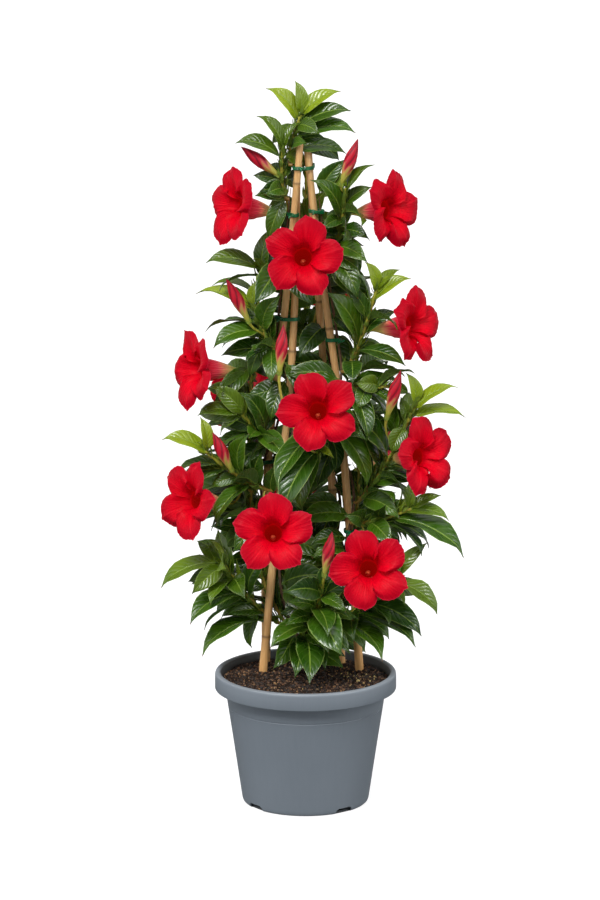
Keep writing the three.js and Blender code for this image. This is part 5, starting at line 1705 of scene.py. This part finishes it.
def ground(x, y):
    """The height of the mix at a place: waves, lumps, and a heap round each cane and the crown."""
    r, a = math.hypot(x, y), math.atan2(y, x)
    wave = 1.6 * math.sin(3 * a + 5) * math.cos(5 * a + 10) * smooth(r, 0, 48)
    lumps = noise.noise(Vector((x / 9, y / 9, 3))) * 1.6 + noise.noise(Vector((x / 3, y / 3, 7))) * 1.1
    heap = sum(2.2 * math.exp(-((x - line[0][0]) ** 2 + (y - line[0][1]) ** 2) / 90)
               for line in CANES.values())
    heap += 3 * math.exp(-((x - CROWN[0]) ** 2 + (y - CROWN[1]) ** 2) / 200)
    return FILL_LEVEL + wave * 0.7 + lumps + heap - 2 * smooth(r, 86, 95)


def soil_paint(w):
    fine, coarse = w.grain(1100, 5), w.grain(320, 4)
    brown = (coarse * 0.8 + fine * 0.4 - 0.1).blend(srgb(18, 12, 8), srgb(58, 40, 27))
    brown = (fine.step(0.62, 0.7) * 0.5).blend(brown, srgb(120, 88, 56))
    return {"Base Color": brown, "Roughness": 0.85 + fine * 0.12,
            "Normal": (coarse + fine * 0.5).bump(0.0015)}


potting_mix = finish("potting_mix", soil_paint, Specular_IOR_Level=0.2)
columns = 96
points = []
# First the foot and the wall of the root ball, then the rings of the ground.
for radius, height in ((68, 5), (70.9, 8), (89.7, 132), (94, 143), *[(r, None) for r in SOIL_RINGS]):
    for c in range(columns):
        x, y = (radius * f(2 * math.pi * c / columns) for f in (math.cos, math.sin))
        points.append((x, y, ground(x, y) if height is None else height))
mould = Mould()
mould.add(np.array(points), ring_faces(len(points) // columns, columns))
mould.piece("potting_mix_ground", (potting_mix,), "soil", ["soil"], 180)
print("ground of", len(points), "points")

# %% Crumbs
CRUMBS = 4200
golden = (1 + 5 ** 0.5) / 2
BALL = unit(np.array([(a, b * golden, 0) for a in (-1, 1) for b in (-1, 1)]
                     + [(0, a, b * golden) for a in (-1, 1) for b in (-1, 1)]
                     + [(b * golden, 0, a) for a in (-1, 1) for b in (-1, 1)]))
BALL_FACES = [[i, j, k] for i in range(12) for j in range(i) for k in range(j)
              if max(np.linalg.norm(BALL[p] - BALL[q]) for p, q in ((i, j), (j, k), (k, i))) < 1.2]
BALL_FACES = [face if np.linalg.det(BALL[face]) > 0 else face[::-1] for face in BALL_FACES]


def crumb_paint(w):
    tone, fine = w.painted("tone"), w.grain(1500, 3)
    brown = (tone + fine * 0.2 - 0.1).ramp(
        (0.0, srgb(16, 10, 6)), (0.4, srgb(58, 36, 22)), (0.7, srgb(108, 70, 42)),
        (0.92, srgb(166, 124, 82)), (1.0, srgb(230, 204, 134)))
    return {"Base Color": brown, "Roughness": 0.4 + fine * 0.3, "Normal": fine.bump(0.0005)}


crumb_finish = finish("crumbs", crumb_paint, Specular_IOR_Level=0.5)
mould = Mould()
for _ in range(CRUMBS):
    radius, angle = 94.5 * math.sqrt(rng.uniform()), rng.uniform(0, 2 * math.pi)
    x, y = radius * math.cos(angle), radius * math.sin(angle)
    size = rng.uniform(0.6, 1.5) * (1 if rng.uniform() < 0.85 else 1.35)
    body = BALL * size * rng.uniform(0.55, 1.25, 3) * rng.uniform(0.8, 1.15, (12, 1))
    place = np.array([x, y, ground(x, y) + size * 0.25])
    husk = rng.uniform() < 0.25 * math.exp(-((x - 58) ** 2 + (y + 5) ** 2) / 300)
    mould.add(body + place, BALL_FACES, 0, tone=1 if husk else 0.95 * rng.uniform() ** 1.5)
mould.piece("potting_mix_crumbs", (crumb_finish,), "soil", [], 35)
print(CRUMBS, "crumbs with", len(mould.faces), "faces")
